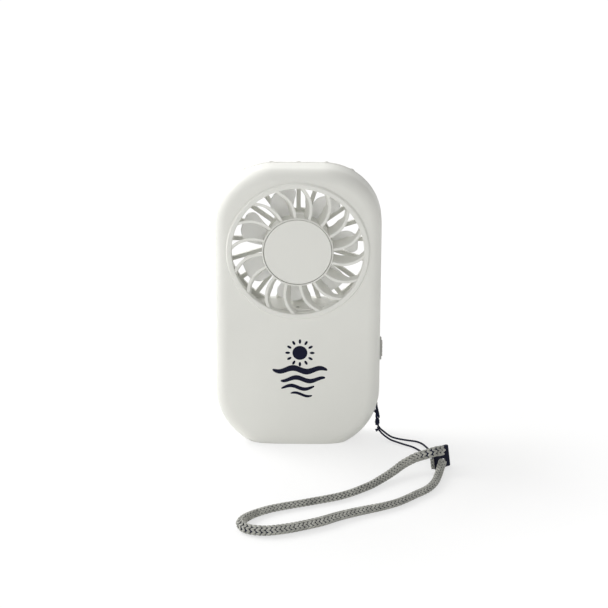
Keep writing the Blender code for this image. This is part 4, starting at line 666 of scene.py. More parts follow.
def curve_through(name, line, closed=False, **values):
    """An object with a curve through a line, with the values given to the curve, and the curve's points."""
    curve = bpy.data.curves.new(name, "CURVE")
    for key, value in values.items():
        setattr(curve, key, value)
    spline = curve.splines.new("POLY")
    spline.points.add(len(line) - 1)
    spline.use_cyclic_u = closed
    for point, place in zip(spline.points, line):
        point.co = (*place, 1.0)
    return place_object(name, curve), spline.points


def lobed_section(diameter):
    """The section of a twisted thread: a round outline with a few lobes, as a curve that is not shown."""
    name = f"thread_section_{diameter / MM:.2f}".replace(".", "_")
    known = bpy.data.objects.get(name)
    if known:
        return known
    outline = []
    for index in range(THREAD_LOBES * LOBE_STEPS):
        turn = math.tau * index / (THREAD_LOBES * LOBE_STEPS)
        lobe = abs(math.cos(THREAD_LOBES * turn / 2))
        reach = diameter / 2 * (1 - THREAD_LOBE_SHARE + THREAD_LOBE_SHARE * lobe)
        outline.append((reach * math.cos(turn), reach * math.sin(turn), 0.0))
    section, _ = curve_through(name, outline, closed=True, dimensions="2D", fill_mode="NONE")
    section.hide_render = True
    section.hide_viewport = True
    return section


def thread(name, points, diameter=THREAD_D, closed=False):
    """A twisted thread along a route, and its length."""
    line, length = smooth_line(points, THREAD_STEP)
    if closed:
        line.pop()
    obj, points = curve_through(
        name,
        line,
        closed,
        dimensions="3D",
        bevel_mode="OBJECT",
        bevel_object=lobed_section(diameter),
        use_fill_caps=not closed,
        twist_mode="MINIMUM",
    )
    for index, point in enumerate(points):
        point.tilt = math.tau * index * THREAD_STEP / THREAD_TURN
    return obj, length


def core_of(line, radii):
    """The inside of a knitted cord as a plain tube."""
    round_tube = {"dimensions": "3D", "bevel_depth": 1.0, "bevel_resolution": 2, "use_fill_caps": True}
    obj, points = curve_through("core", line, **round_tube)
    for point, radius in zip(points, radii):
        point.radius = radius
    mesh = shaped_mesh(obj)
    bpy.data.objects.remove(obj)
    return mesh


def waist_at(share, waist):
    """The thickness at a share of the length, between the nearest given ones."""
    for (start, thick), (end, after) in zip(waist, waist[1:]):
        if share <= end:
            return thick + (after - thick) * (share - start) / (end - start)
    return waist[-1][1]


def knitted(name, points, radius, columns, pitch, waist=((0.0, 1.0), (1.0, 1.0)), rests=False):
    """A knitted cord: columns of V stitches round a darker core, along a route. Also its line and length.

    A cord that rests on the table sinks where it is pulled thinner."""
    half_width = math.pi * radius / (2 * columns) * LEG_WIDTH_SHARE
    half_depth = half_width * LEG_DEPTH_SHARE
    leg_radius = radius - half_depth
    # One leg of a stitch, a slim pod along Z with its outer side along Y
    leg = ball((0.0, 0.0, 0.0), (half_width, half_depth, pitch * LEG_LENGTH_SHARE), *LEG_STEPS)
    leg = mesh_from("stitch_leg", leg)
    line, _ = smooth_line(points, pitch)
    fine_line, length = smooth_line(points, pitch / 2)
    slim = []
    for run in (line, fine_line):
        for index, point in enumerate(run):
            thick = waist_at(index / (len(run) - 1), waist)
            slim.append(thick)
            if rests:
                point.z -= radius * (1 - thick)
    knit = bmesh.new()
    # Partly painted shade: the dark core stands for the shaded hollow inside the knit, which shows navy-grey
    # between the stitches
    core_r = leg_radius - half_depth * CORE_SUNK_SHARE
    knit.from_mesh(core_of(fine_line, [core_r * thick for thick in slim[len(line) :]]))
    for face in knit.faces:
        face.material_index = 1
    for row, here in enumerate(frames_along(line)[:-1]):
        middle = here.copy()
        middle.translation = (line[row] + line[row + 1]) / 2
        thick = (slim[row] + slim[row + 1]) / 2
        squeeze = Matrix.Diagonal((thick, thick, 1.0, 1.0))
        for column in range(columns):
            for side in (-1, 1):
                angle = math.tau * (column + side * LEG_SPREAD_SHARE) / columns
                copy = leg.copy()
                copy.transform(
                    middle
                    @ squeeze
                    @ Matrix.Rotation(angle, 4, "Z")
                    @ Matrix.Translation((0.0, leg_radius, 0.0))
                    @ Matrix.Rotation(-side * STITCH_SLANT, 4, "Y")
                )
                knit.from_mesh(copy)
                bpy.data.meshes.remove(copy)
    bpy.data.meshes.remove(leg)
    return piece_from(name, knit), fine_line, length


def complete_knit(obj, node_name):
    for look in ("yarn", "core"):
        obj.data.materials.append(LOOKS[look])
    obj.data.shade_smooth()
    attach(obj, "housing")
    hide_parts(node_name)


# Effects that several materials use

def effect(name, **inputs):
    """An empty node group with named inputs that gives a colour, a roughness and a normal."""
    group = bpy.data.node_groups.new(name, "ShaderNodeTree")
    outputs = {"Colour": "Color", "Roughness": "Float", "Normal": "Vector"}
    for in_out, sockets in (("INPUT", inputs), ("OUTPUT", outputs)):
        for socket, kind in sockets.items():
            group.interface.new_socket(socket, in_out=in_out, socket_type=f"NodeSocket{kind}")
    return group, group.nodes.new("NodeGroupInput"), group.nodes.new("NodeGroupOutput")


def node(tree, kind, **values):
    """A node with its properties and the starting values of its sockets."""
    made = tree.nodes.new(kind)
    for key, value in values.items():
        if hasattr(made, key):
            setattr(made, key, value)
        else:
            made.inputs[key.replace("_", " ")].default_value = value
    return made


def bump_from(group, given, result, noise, distance):
    """A bump with the given depth on the effect's normal, from a noise."""
    bump = node(group, "ShaderNodeBump", Distance=distance)
    wire(
        group,
        (noise, "Fac", bump, "Height"),
        (given, "Depth", bump, "Strength"),
        (bump, "Normal", result, "Normal"),
    )


def wire(tree, *links):
    """Link sockets: each link is a node, its output, the next node and its input."""
    for start, output, end, entry in links:
        tree.links.new(start.outputs[output], end.inputs[entry])


def grained_effect():
    """Fine mould grain, a slow drift of tone and a matching change of gloss."""
    group, given, result = effect(
        "moulded_grain", Colour="Color", Gloss="Float", Grain="Float", Depth="Float"
    )
    place = node(group, "ShaderNodeTexCoord")
    grain = node(group, "ShaderNodeTexNoise", Detail=3.0, Roughness=0.6)
    drift = node(group, "ShaderNodeTexNoise", Scale=45.0, Detail=2.0)
    shade = node(group, "ShaderNodeMapRange", To_Min=0.965, To_Max=1.02)
    tint = node(group, "ShaderNodeMix", data_type="RGBA", blend_type="MULTIPLY")
    tint.inputs["Factor"].default_value = 1.0
    gloss = node(group, "ShaderNodeMath", operation="MULTIPLY_ADD")
    gloss.inputs[1].default_value = 0.12
    wire(
        group,
        (place, "Object", grain, "Vector"),
        (place, "Object", drift, "Vector"),
        (given, "Grain", grain, "Scale"),
        (drift, "Fac", shade, "Value"),
        (given, "Colour", tint, "A"),
        (shade, "Result", tint, "B"),
        (grain, "Fac", gloss, 0),
        (given, "Gloss", gloss, 2),
        (tint, "Result", result, "Colour"),
        (gloss, "Value", result, "Roughness"),
    )
    bump_from(group, given, result, grain, GRAIN_BUMP)
    return group


def fibre_effect():
    """Fine fibres: streaky light and dark tones and a soft bump."""
    group, given, result = effect(
        "fibres", Dark="Color", Light="Color", Fineness="Float", Depth="Float"
    )
    place = node(group, "ShaderNodeTexCoord")
    strands = node(group, "ShaderNodeTexNoise", Detail=5.0, Roughness=0.7, Distortion=0.6)
    patches = node(group, "ShaderNodeTexNoise", Scale=300.0, Detail=1.0)
    both = node(group, "ShaderNodeMath", operation="ADD")
    spread = node(group, "ShaderNodeMapRange", From_Min=0.7, From_Max=1.3)
    colour = node(group, "ShaderNodeMix", data_type="RGBA")
    rough = node(group, "ShaderNodeMapRange", To_Min=0.75, To_Max=0.95)
    wire(
        group,
        (place, "Object", strands, "Vector"),
        (place, "Object", patches, "Vector"),
        (given, "Fineness", strands, "Scale"),
        (strands, "Fac", both, 0),
        (patches, "Fac", both, 1),
        (both, "Value", spread, "Value"),
        (spread, "Result", colour, "Factor"),
        (given, "Dark", colour, "A"),
        (given, "Light", colour, "B"),
        (strands, "Fac", rough, "Value"),
        (colour, "Result", result, "Colour"),
        (rough, "Result", result, "Roughness"),
    )
    bump_from(group, given, result, strands, FIBRE_BUMP)
    return group


def material(name, group, values, **shader_values):
    """A Principled material whose colour, roughness and normal come from an effect with its own values."""
    made = bpy.data.materials.new(name)
    made.use_nodes = True
    tree = made.node_tree
    shader = tree.nodes["Principled BSDF"]
    look = node(tree, "ShaderNodeGroup", node_tree=group, **values)
    for key, value in shader_values.items():
        shader.inputs[key.replace("_", " ")].default_value = value
    wire(
        tree,
        (look, "Colour", shader, "Base Color"),
        (look, "Roughness", shader, "Roughness"),
        (look, "Normal", shader, "Normal"),
    )
    return made


def colour(red, green, blue):
    """An sRGB colour, from 0 to 255, as the shader's linear one."""
    linear = []
    for level in (red, green, blue):
        share = level / 255
        linear.append(share / 12.92 if share <= 0.04045 else ((share + 0.055) / 1.055) ** 2.4)
    return (*linear, 1.0)


def make_materials():
    grain = grained_effect()
    fibres = fibre_effect()

    def moulded(name, tone, gloss=0.46, fineness=5200.0, depth=0.35, **values):
        given = {"Colour": colour(*tone), "Gloss": gloss, "Grain": fineness, "Depth": depth}
        return material(name, grain, given, **values)

    def spun(name, dark, light, fineness=9000.0, depth=0.6, **values):
        given = {"Dark": colour(*dark), "Light": colour(*light), "Fineness": fineness, "Depth": depth}
        return material(name, fibres, given, Specular_IOR_Level=0.25, **values)

    metal = {"Metallic": 1.0}
    dull = {"Specular_IOR_Level": 0.15}
    thin = {"Subsurface_Weight": 0.7, "Subsurface_Radius": (1.0, 1.0, 1.0), "Subsurface_Scale": 4.0 * MM}
    return {
        "case": moulded("case_plastic", (232, 232, 226)),
        "grille": moulded("grille_plastic", (232, 232, 226), gloss=0.42, depth=0.25),
        # Painted light: the wheel's plastic is made lighter than the case's to brighten the blades, which the
        # lamps light too little
        "wheel": moulded("wheel_plastic_lightened", (244, 244, 240), gloss=0.34, depth=0.15, **thin),
        # Painted shade: the knob's plastic is made a darker grey than the case, as the knob looks in the
        # shade on its side away from the lamp
        "knob": moulded("knob_plastic", (176, 176, 170), gloss=0.4),
        "steel": moulded("turned_steel", (190, 190, 192), 0.22, 3000.0, 0.2, **metal),
        "bronze": moulded("bush_bronze", (186, 140, 88), gloss=0.34, fineness=2500.0, **metal),
        "copper": moulded("coil_copper", (196, 112, 70), 0.3, 2200.0, 0.8, **metal),
        "dark": moulded("dark_ferrite", (52, 52, 55), gloss=0.5),
        "board": moulded("board_green", (38, 110, 66), gloss=0.3, fineness=1800.0),
        "chip": moulded("chip_black", (34, 34, 36), gloss=0.5),
        "clear": moulded("light_pipe", (236, 240, 240), gloss=0.1, depth=0.05, IOR=1.49),
        "cell": moulded("cell_wrap", (66, 110, 168), gloss=0.25, fineness=900.0),
        "red": moulded("lead_red", (178, 44, 40), gloss=0.35),
        "black": moulded("lead_black", (36, 36, 38), gloss=0.35),
        "clip": moulded("clip_navy", (5, 10, 36), gloss=0.42, fineness=3800.0, **dull),
        "ink": moulded("print_ink", (6, 11, 38), gloss=0.38, fineness=7000.0, depth=0.2, **dull),
        "thread": spun("navy_thread", (8, 12, 34), (20, 26, 56), Sheen_Weight=0.1),
        "yarn": spun("grey_yarn", (150, 150, 144), (196, 196, 188), Sheen_Weight=0.2),
        # Partly painted shade: the core's dark navy stands for the shaded hollow inside the knit as well as
        # the navy seen between the stitches
        "core": spun("shade_dark_core", (22, 26, 46), (44, 50, 72), depth=0.3),
    }


# Cords

def clip_matrix():
    """Where the clip's own frame stands on the table, turned and leaning back."""
    place = Matrix.Translation((*CLIP_PLACE, CLIP_THICK / 2 * math.sin(CLIP_LEAN)))
    return place @ Matrix.Rotation(CLIP_TURN, 4, "Z") @ Matrix.Rotation(-CLIP_LEAN, 4, "X")


def make_strap():
    strap, line, length = knitted(
        "knitted_strap", STRAP_ROUTE, STRAP_D / 2, STITCH_COLUMNS, STITCH_PITCH, STRAP_WAIST, rests=True
    )
    complete_knit(strap, "wrist_strap")
    x, y = TAIL_PLACE
    tail_route = [
        clip_matrix() @ Vector((x, y, GAP + TAIL_R + share * (TAIL_LENGTH - 2 * TAIL_R)))
        for share in (0.0, 0.5, 1.0)
    ]
    tail, *_ = knitted("knitted_tail", tail_route, TAIL_R, TAIL_COLUMNS, TAIL_LENGTH / 4)
    complete_knit(tail, "strap_tail")
    clip = make_clip()


def make_clip():
    """The clip: a frame with two windows and rounded edges."""
    half = CLIP_WIDTH / 2
    thick = CLIP_THICK / 2
    frame_block = block((-half, -thick, 0.0), (half, thick, CLIP_HEIGHT), CLIP_ROUND, CLIP_STEPS)
    clip = piece_from("clip_frame", frame_block)
    window = (CLIP_HEIGHT - 3 * CLIP_BAR) / 2
    side = half - CLIP_POST
    holes = [
        block((-side, -CLIP_THICK, low), (side, CLIP_THICK, low + window), CLIP_ROUND)
        for low in (CLIP_BAR, CLIP_BAR + (window + CLIP_BAR))
    ]
    carve(clip, "DIFFERENCE", *holes)
    edges = clip.modifiers.new("edges", "BEVEL")
    edges.width = CLIP_EDGE_ROUND
    edges.segments = 3
    edges.limit_method = "ANGLE"
    edges.angle_limit = CLIP_EDGE_ANGLE
    clip.data = shaped_mesh(clip)
    clip.modifiers.clear()
    clip.data.transform(clip_matrix())
    return complete(clip, "clip", "clip_plastic", "strap_clip")


def make_threads():
    """The two bights round the bar, the knots under them and the two strands that run to the strap."""
    bights = []
    wrap = BAR_R + GAP / 2 + THREAD_D / 2
    foot_z = KNOT_TOP_Z + GAP
    for side, place in ((-1, "front"), (1, "rear")):
        y = SCOOP_Y + side * BIGHT_SPREAD
        points = [(KNOT_X + THREAD_D / 2 + GAP / 2, y, foot_z)]
        for degrees in BIGHT_DEGREES:
            turn = math.radians(degrees)
            points.append((BAR_X + wrap * math.cos(turn), y, BAR_Z + wrap * math.sin(turn)))
        points.append((KNOT_X - THREAD_D / 2, y, (BAR_Z - wrap + foot_z) / 2))
        points.append((KNOT_X - THREAD_D / 2, y, foot_z))
        bight, _ = thread(f"twisted_bight_{place}", points, BIGHT_THREAD_D)
        bights.append(complete(bight, "thread", "navy_thread", f"thread_bight_{place}"))
    barrel = complete(barrel_knot(), "thread", "navy_thread", "barrel_knot")
    small = complete(end_knot(), "thread", "navy_thread", "end_knot")
    for place, route, pieces in (
        ("upper", UPPER_STRAND_ROUTE, [*bights, barrel]),
        ("lower", LOWER_STRAND_ROUTE, [small]),
    ):
        strand, length = thread(f"twisted_strand_{place}", route)
        complete(strand, "thread", "navy_thread", f"thread_strand_{place}")


def barrel_knot():
    """The thread wound round its own two ends in a few close turns."""
    low = KNOT_TOP_Z - KNOT_HEIGHT
    points = []
    steps = round(KNOT_TURNS * KNOT_TURN_STEPS)
    for step in range(steps + 1):
        share = step / steps
        turn = math.tau * KNOT_TURNS * share
        bulge = KNOT_COIL_R * (KNOT_END_SHARE + (1 - KNOT_END_SHARE) * math.sin(math.pi * share))
        z = low + KNOT_THREAD_D / 2 + (KNOT_HEIGHT - KNOT_THREAD_D) * share
        points.append((KNOT_X + bulge * math.cos(turn), SCOOP_Y + bulge * math.sin(turn), z))
    knot, _ = thread("wound_barrel_knot", points, KNOT_THREAD_D)
    return knot


def end_knot():
    """The small knot at the foot, one thread tied through itself."""
    points = []
    for step in range(END_KNOT_STEPS + 1):
        turn = math.tau * step / END_KNOT_STEPS
        offset = Vector(
            (
                math.sin(turn) + 2 * math.sin(2 * turn),
                -1.4 * math.sin(3 * turn),
                math.cos(turn) - 2 * math.cos(2 * turn),
            )
        )
        points.append(END_KNOT_PLACE + offset * END_KNOT_R / 3)
    knot, _ = thread("tied_end_knot", points, END_KNOT_THREAD_D, closed=True)
    return knot


# Case

def scoop_backing(limit):
    """The wall behind the lanyard scoop, kept inside one shell."""
    backing = ball(SCOOP_CENTRE, [radius + SCOOP_WALL for radius in SCOOP_RADII])
    return carve(piece_from("backing", backing), "INTERSECT", limit)


def scoop_cutters():
    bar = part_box("lanyard_bar")
    hole = rod(BAR_R + GAP, bar[0].y - GAP, bar[1].y + GAP, BAR_X, BAR_Z)
    return ball(SCOOP_CENTRE, SCOOP_RADII), hole


def make_front_shell():
    rebate_y = PARTING_Y - LIP_LENGTH - SEAM_GAP
    shell = piece_from("case_front", slab(0.0, FRONT_Y, PARTING_Y, EDGE_R, SEAM_ROUND))
    hollow = slab(WALL, FRONT_INNER_Y, PARTING_Y + OVERRUN, EDGE_R - WALL)
    rebate = slab(LIP_WALL, rebate_y, PARTING_Y + OVERRUN)
    carve(shell, "DIFFERENCE", hollow, rebate)
    limit = slab(EMBED, FRONT_Y + EMBED, rebate_y - EMBED, EDGE_R - EMBED)
    carve(shell, "UNION", scoop_backing(limit))
    seat_r, seat_y = BEZEL_R + BEZEL_GAP, FACE_Y + BEZEL_THICK + GAP
    outlet = fan_turned(
        (0.0, FRONT_Y - OVERRUN), (seat_r, FRONT_Y - OVERRUN), (seat_r, seat_y), (OUTLET_R, seat_y),
        (OUTLET_R, FRONT_INNER_Y + OVERRUN), (0.0, FRONT_INNER_Y + OVERRUN),
    )
    half = KNOB_HEIGHT / 2 + GAP
    low, high = SWITCH_Z - half, SWITCH_Z + half + KNOB_TRAVEL
    knob_slot = port_block(
        SIDE_INNER_X - OVERRUN, SIDE_X + OVERRUN, KNOB_WIDTH + 2 * GAP, low, high, KNOB_ROUND
    )
    x_from, x_to = -SIDE_X - OVERRUN, -SIDE_INNER_X + OVERRUN
    mouth = slot_along_x(SOCKET_WIDTH, SOCKET_THICK, x_from, x_to, SOCKET_Z, GAP)
    light_hole = slot_along_x(2 * LIGHT_R, 2 * LIGHT_R, x_from, x_to, LIGHT_Z, GAP)
    carve(shell, "DIFFERENCE", outlet, knob_slot, mouth, light_hole, *scoop_cutters())
    complete(shell, "case", "case_shell", "front_shell")


def intake_cutter():
    outer = INTAKE_R + INTAKE_ROUND
    cutter = fan_turned(
        (0.0, REAR_INNER_Y - OVERRUN), (INTAKE_R, REAR_INNER_Y - OVERRUN),
        (INTAKE_R, REAR_Y, INTAKE_ROUND), (outer, REAR_Y), (outer, REAR_Y + OVERRUN),
        (0.0, REAR_Y + OVERRUN),
    )
    below = block((-SIDE_X, -SIDE_X, 0.0), (SIDE_X, SIDE_X, FLOOR_Z))
    return carve(piece_from("intake", cutter), "DIFFERENCE", below)


def chamber_floor():
    low, high = FLOOR_Z - FLOOR_WALL, FLOOR_Z
    slim_x = SIDE_INNER_X - GAP
    nose_x = slim_x - (EDGE_R - WALL)
    parts = (
        (SIDE_INNER_X + EMBED, REAR_SEAM_Y, REAR_INNER_Y + EMBED),
        (slim_x, FRONT_Y + EDGE_R, REAR_SEAM_Y + EMBED),
        (nose_x, SKIRT_BACK_Y + GAP, FRONT_Y + EDGE_R + EMBED),
    )
    return [block((-x, y_from, low), (x, y_to, high)) for x, y_from, y_to in parts]


def rear_spokes():
    outer_y = REAR_Y - SPOKE_SET_BACK
    made = []
    for index in range(SPOKE_COUNT):
        spoke = block(
            (-SPOKE_WIDTH / 2, outer_y - SPOKE_THICK, MOTOR_PLATE_R - WALL),
            (SPOKE_WIDTH / 2, outer_y, INTAKE_R + WALL / 2),
            SPOKE_ROUND,
            2,
        )
        made.append(moved(rotated(spoke, math.tau * index / SPOKE_COUNT, "Y"), FAN_PLACE))
    return made


def motor_plate():
    back = REAR_Y - MOTOR_PLATE_SET_BACK
    front = back - MOTOR_PLATE_THICK
    seat_in = MOTOR_R + GAP
    seat_out = seat_in + SEAT_WALL
    return fan_turned(
        (0.0, back), (MOTOR_PLATE_R, back, PLATE_ROUND), (MOTOR_PLATE_R, front), (seat_out, front),
        (seat_out, front - SEAT_HEIGHT), (seat_in, front - SEAT_HEIGHT), (seat_in, front),
        (0.0, front),
        steps=SMALL_STEPS * 2,
    )


def lead_cover():
    back = REAR_INNER_Y - LEAD_SLOT_DEPTH - EMBED / 2
    half = LEAD_COVER_WIDTH / 2
    top_z = FAN_Z - MOTOR_R - GAP - SEAT_WALL + EMBED
    return block((-half, back - LEAD_COVER_THICK, FLOOR_Z - EMBED), (half, back, top_z))


def grip_ribs():
    """Soft ridges across the top of the rear shell, evenly spaced along the outline."""
    made = []
    corner_x = SIDE_X - TOP_CORNER_R
    y_from, y_to = REAR_SEAM_Y + RIB_END_GAP, REAR_Y - EDGE_R / 2
    for index in range(RIB_COUNT):
        middle = (index - (RIB_COUNT - 1) / 2) * RIB_PITCH
        data = thick_grid(RIB_GRID, -1.0)
        for vert in data.verts:
            across, along = vert.co.x * 2, vert.co.y * 2
            swell = (1 + math.cos(math.pi * across)) / 2 * (1 - along**6)
            height = -EMBED if vert.co.z < -0.5 else (RIB_PROUD + RIB_SUNK) * swell - RIB_SUNK
            y = (y_from + y_to) / 2 + along * (y_to - y_from) / 2
            past = max(y - (REAR_Y - EDGE_R), 0.0)
            reach = TOP_CORNER_R + height - EDGE_R + math.sqrt(EDGE_R**2 - past**2)
            place = middle + across * RIB_HALF_WIDTH
            turn = max(abs(place) - corner_x, 0.0) / TOP_CORNER_R
            vert.co = (
                math.copysign(min(abs(place), corner_x) + reach * math.sin(turn), place),
                y,
                TOP_Z - TOP_CORNER_R + reach * math.cos(turn),
            )
        made.append(faces_out(data))
    return made


def make_rear_shell():
    lip_y = REAR_SEAM_Y - SEAM_GAP - LIP_LENGTH
    shell = piece_from("case_rear", slab(0.0, REAR_SEAM_Y, REAR_Y, SEAM_ROUND, EDGE_R))
    lip = slab(LIP_WALL + SEAM_GAP, lip_y, REAR_SEAM_Y + OVERRUN)
    hollow = slab(WALL, lip_y - OVERRUN, REAR_INNER_Y, 0.0, EDGE_R - WALL)
    carve(shell, "UNION", lip)
    carve(shell, "DIFFERENCE", hollow, intake_cutter())
    sleeves, cutters = [], []
    for name in CASE_SCREWS:
        x, _, z = centre_of(name)
        sleeves.append(rod(SLEEVE_R, SLEEVE_FRONT_Y, REAR_Y - EMBED, x, z))
        cutters.append(rod(radius_of(name) + GAP, REAR_Y - SCREW_SUNK - WALL, REAR_Y + OVERRUN, x, z))
    for name in MOTOR_SCREWS:
        x, _, z = centre_of(name)
        cutters.append(rod(radius_of(name) + GAP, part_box(name)[1].y - WALL / 2, REAR_Y + OVERRUN, x, z))
    inside = LIP_WALL + SEAM_GAP + EMBED / 2
    limit = slab(inside, REAR_SEAM_Y, REAR_Y - inside, 0.0, EDGE_R - inside)
    joined = [*chamber_floor(), *rear_spokes(), motor_plate(), lead_cover(), *sleeves, *grip_ribs()]
    carve(shell, "UNION", *joined, scoop_backing(limit))
    slot = block(
        (-LEAD_SLOT_WIDTH / 2, REAR_INNER_Y - LEAD_SLOT_DEPTH, FLOOR_Z - FLOOR_WALL - OVERRUN),
        (LEAD_SLOT_WIDTH / 2, REAR_INNER_Y, FLOOR_Z + OVERRUN),
    )
    peep = rotated(rod(PEEP_HOLE_R, -FLOOR_WALL, FLOOR_WALL, 0.0, 0.0), math.pi / 2, "X")
    moved(peep, (0.0, PEEP_HOLE_Y, FLOOR_Z - FLOOR_WALL / 2))
    carve(shell, "DIFFERENCE", *cutters, slot, peep, *scoop_cutters())
    complete(shell, "case", "case_shell", "rear_shell")


# Grille, cap and wheel

def swirl_fin(index):
    """One fin: a bar with a rounded front, bent back along a parabola, its back edge set over."""
    face = FACE_Y + FIN_SET_BACK
    inner = HUB_RING_R - HUB_RING_WALL / 2
    outer = BEZEL_INNER_R + SKIRT_WALL * 3 / 4
    shallow = (SKIRT_BACK_Y - EMBED - face) / FIN_DEPTH
    start = FIN_FIRST + math.tau * index / FIN_COUNT
    data = block((-FIN_THICK / 2, 0.0, 0.0), (FIN_THICK / 2, FIN_DEPTH, 1.0))
    front_edges = [edge for edge in edges_along(data, 2, EMBED) if edge.verts[0].co.y < FIN_DEPTH / 2]
    bevel(data, front_edges, FIN_ROUND, FILLET_STEPS)
    bmesh.ops.subdivide_edges(data, edges=edges_along(data, 2, EMBED), cuts=FIN_CUTS)
    for vert in data.verts:
        share = vert.co.z
        radius = inner + (outer - inner) * share
        angle = start - FIN_SWEEP * share * share
        lean = math.atan2(2 * FIN_SWEEP * share * radius, outer - inner)
        past = (share - FIN_DEEP_SHARE) / (FIN_SHALLOW_SHARE - FIN_DEEP_SHARE)
        deep = 1 - (1 - shallow) * min(max(past, 0.0), 1.0)
        depth_share = vert.co.y / FIN_DEPTH
        depth = vert.co.y * (deep if depth_share > 0.5 else 1.0)
        across = vert.co.x * (1 - (1 - FIN_TAPER_SHARE) * depth_share) - FIN_SET_OVER * depth / FIN_DEPTH
        vert.co = (
            radius * math.sin(angle) + across * math.cos(angle - lean),
            face + depth,
            FAN_Z + radius * math.cos(angle) - across * math.sin(angle - lean),
        )
    return faces_out(data)


def make_grille():
    skirt_out = BEZEL_INNER_R + SKIRT_WALL
    grille = fan_turned(
        (BEZEL_INNER_R, FACE_Y, BEZEL_INNER_ROUND), (BEZEL_R - BEZEL_SLOPE, FACE_Y),
        (BEZEL_R, FRONT_Y), (BEZEL_R, FACE_Y + BEZEL_THICK), (skirt_out, FACE_Y + BEZEL_THICK),
        (skirt_out, SKIRT_BACK_Y), (BEZEL_INNER_R, SKIRT_BACK_Y),
    )
    inner = HUB_RING_R - HUB_RING_WALL
    floor_back = HUB_FLOOR_Y + HUB_FLOOR_THICK
    hub = fan_turned(
        (0.0, floor_back), (inner, floor_back), (inner, GRILLE_BACK_Y), (HUB_RING_R, GRILLE_BACK_Y),
        (HUB_RING_R, FACE_Y, BEZEL_INNER_ROUND), (inner, FACE_Y, CAP_ROUND), (inner, HUB_FLOOR_Y),
        (0.0, HUB_FLOOR_Y),
    )
    fins = [swirl_fin(index) for index in range(FIN_COUNT)]
    grille = carve(piece_from("swirl_grille", grille), "UNION", hub, *fins)
    complete(grille, "grille", "case_shell", "front_grille")


def make_hub_cap():
    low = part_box("hub_cap")[0].y
    cap = fan_turned(
        (0.0, low), (HUB_CAP_R, low, CAP_ROUND), (HUB_CAP_R, low + HUB_CAP_THICK),
        (0.0, low + HUB_CAP_THICK),
    )
    complete(piece_from("centre_cap", cap), "grille", "case_shell", "hub_cap")


def wheel_blade(index):
    """One pitched blade: a thin block bent round the axis, widest near its rounded tip."""
    root = WHEEL_HUB_R - WHEEL_HUB_WALL / 2
    middle_y = (BLADE_FRONT_Y + BLADE_BACK_Y) / 2
    half_y = (BLADE_BACK_Y - BLADE_FRONT_Y - BLADE_THICK) / 2
    data = thick_grid(BLADE_GRID, 1.0)
    for vert in data.verts:
        along, share, side = vert.co.x + 0.5, vert.co.y + 0.5, vert.co.z * 2 - 1
        radius = root + (BLADE_TIP_R - root) * share
        past = max(share - TIP_ROUND_START_SHARE, 0.0) / TIP_ROUND_SHARE
        round_off = math.sqrt(max(1 - past**2, 0.0))
        wide = BLADE_ARC * (BLADE_ROOT_SHARE + (1 - BLADE_ROOT_SHARE) * share) * round_off
        angle = BLADE_SWEEP * share + wide * (along - 0.5)
        y = middle_y + half_y * round_off * (2 * along - 1) * (1 - BLADE_FLATTER_SHARE * share)
        thick = BLADE_THICK / 2 * (BLADE_EDGE_SHARE + (1 - BLADE_EDGE_SHARE) * math.sin(math.pi * along))
        vert.co = (radius * math.sin(angle), y + side * thick, radius * math.cos(angle))
    faces_out(data)
    rim = [edge for edge in data.edges if edge.calc_face_angle(0.0) > BLADE_EDGE_ANGLE]
    bevel(data, rim, BLADE_EDGE_ROUND, FINE_STEPS)
    angle = BLADE_FIRST + math.tau * index / BLADE_COUNT
    return moved(rotated(faces_out(data), angle, "Y"), FAN_PLACE)


def make_wheel():
    inner = WHEEL_HUB_R - WHEEL_HUB_WALL
    inside = WHEEL_FRONT_Y + WHEEL_FACE_THICK
    wheel = fan_turned(
        (SHAFT_HOLE_R, WHEEL_FRONT_Y), (WHEEL_HUB_R, WHEEL_FRONT_Y, WHEEL_ROUND),
        (WHEEL_HUB_R, WHEEL_BACK_Y), (inner, WHEEL_BACK_Y), (inner, inside), (SHAFT_HOLE_R, inside),
        steps=SMALL_STEPS * 2,
    )
    blades = [wheel_blade(index) for index in range(BLADE_COUNT)]
    wheel = carve(piece_from("fan_wheel", wheel), "UNION", *blades, solver="MANIFOLD")
    complete(wheel, "wheel", "fan_wheel", "impeller", body="fan_wheel")


# Small hardware

def make_knob():
    """The ridged knob, with its shutter plate and tongue behind the slot."""
    out_x = KNOB_BOX[1].x
    shutter_out = SIDE_INNER_X - GAP
    base_x = out_x - KNOB_GROOVE_DEPTH
    half = KNOB_HEIGHT / 2
    low, high = SWITCH_Z - half, SWITCH_Z + half
    grip = port_block(shutter_out - SHUTTER_THICK / 2, base_x, KNOB_WIDTH, low, high, KNOB_ROUND)
    knob = piece_from("ridged_knob", grip)
    added = []
    for index in range(KNOB_RIDGES):
        z = SWITCH_Z + (index - (KNOB_RIDGES - 1) / 2) * KNOB_RIDGE_PITCH
        low, high = z - KNOB_RIDGE_WIDTH / 2, z + KNOB_RIDGE_WIDTH / 2
        width = KNOB_WIDTH - 2 * KNOB_ROUND
        added.append(port_block(base_x - KNOB_WIDTH / 4, out_x, width, low, high, KNOB_ROUND / 2))
    back_x, reach = shutter_out - SHUTTER_THICK, half + KNOB_TRAVEL + GAP
    shutter = port_block(back_x, shutter_out, SHUTTER_WIDTH, SWITCH_Z - reach, SWITCH_Z + reach)
    tongue_x, reach = shutter_out - SHUTTER_THICK / 2, TONGUE_SIDE / 2
    tongue = port_block(KNOB_BOX[0].x, tongue_x, TONGUE_SIDE, SWITCH_Z - reach, SWITCH_Z + reach)
    carve(knob, "UNION", *added, shutter, tongue)
    complete(knob, "knob", "knob_plastic", "switch_knob", body="switch")


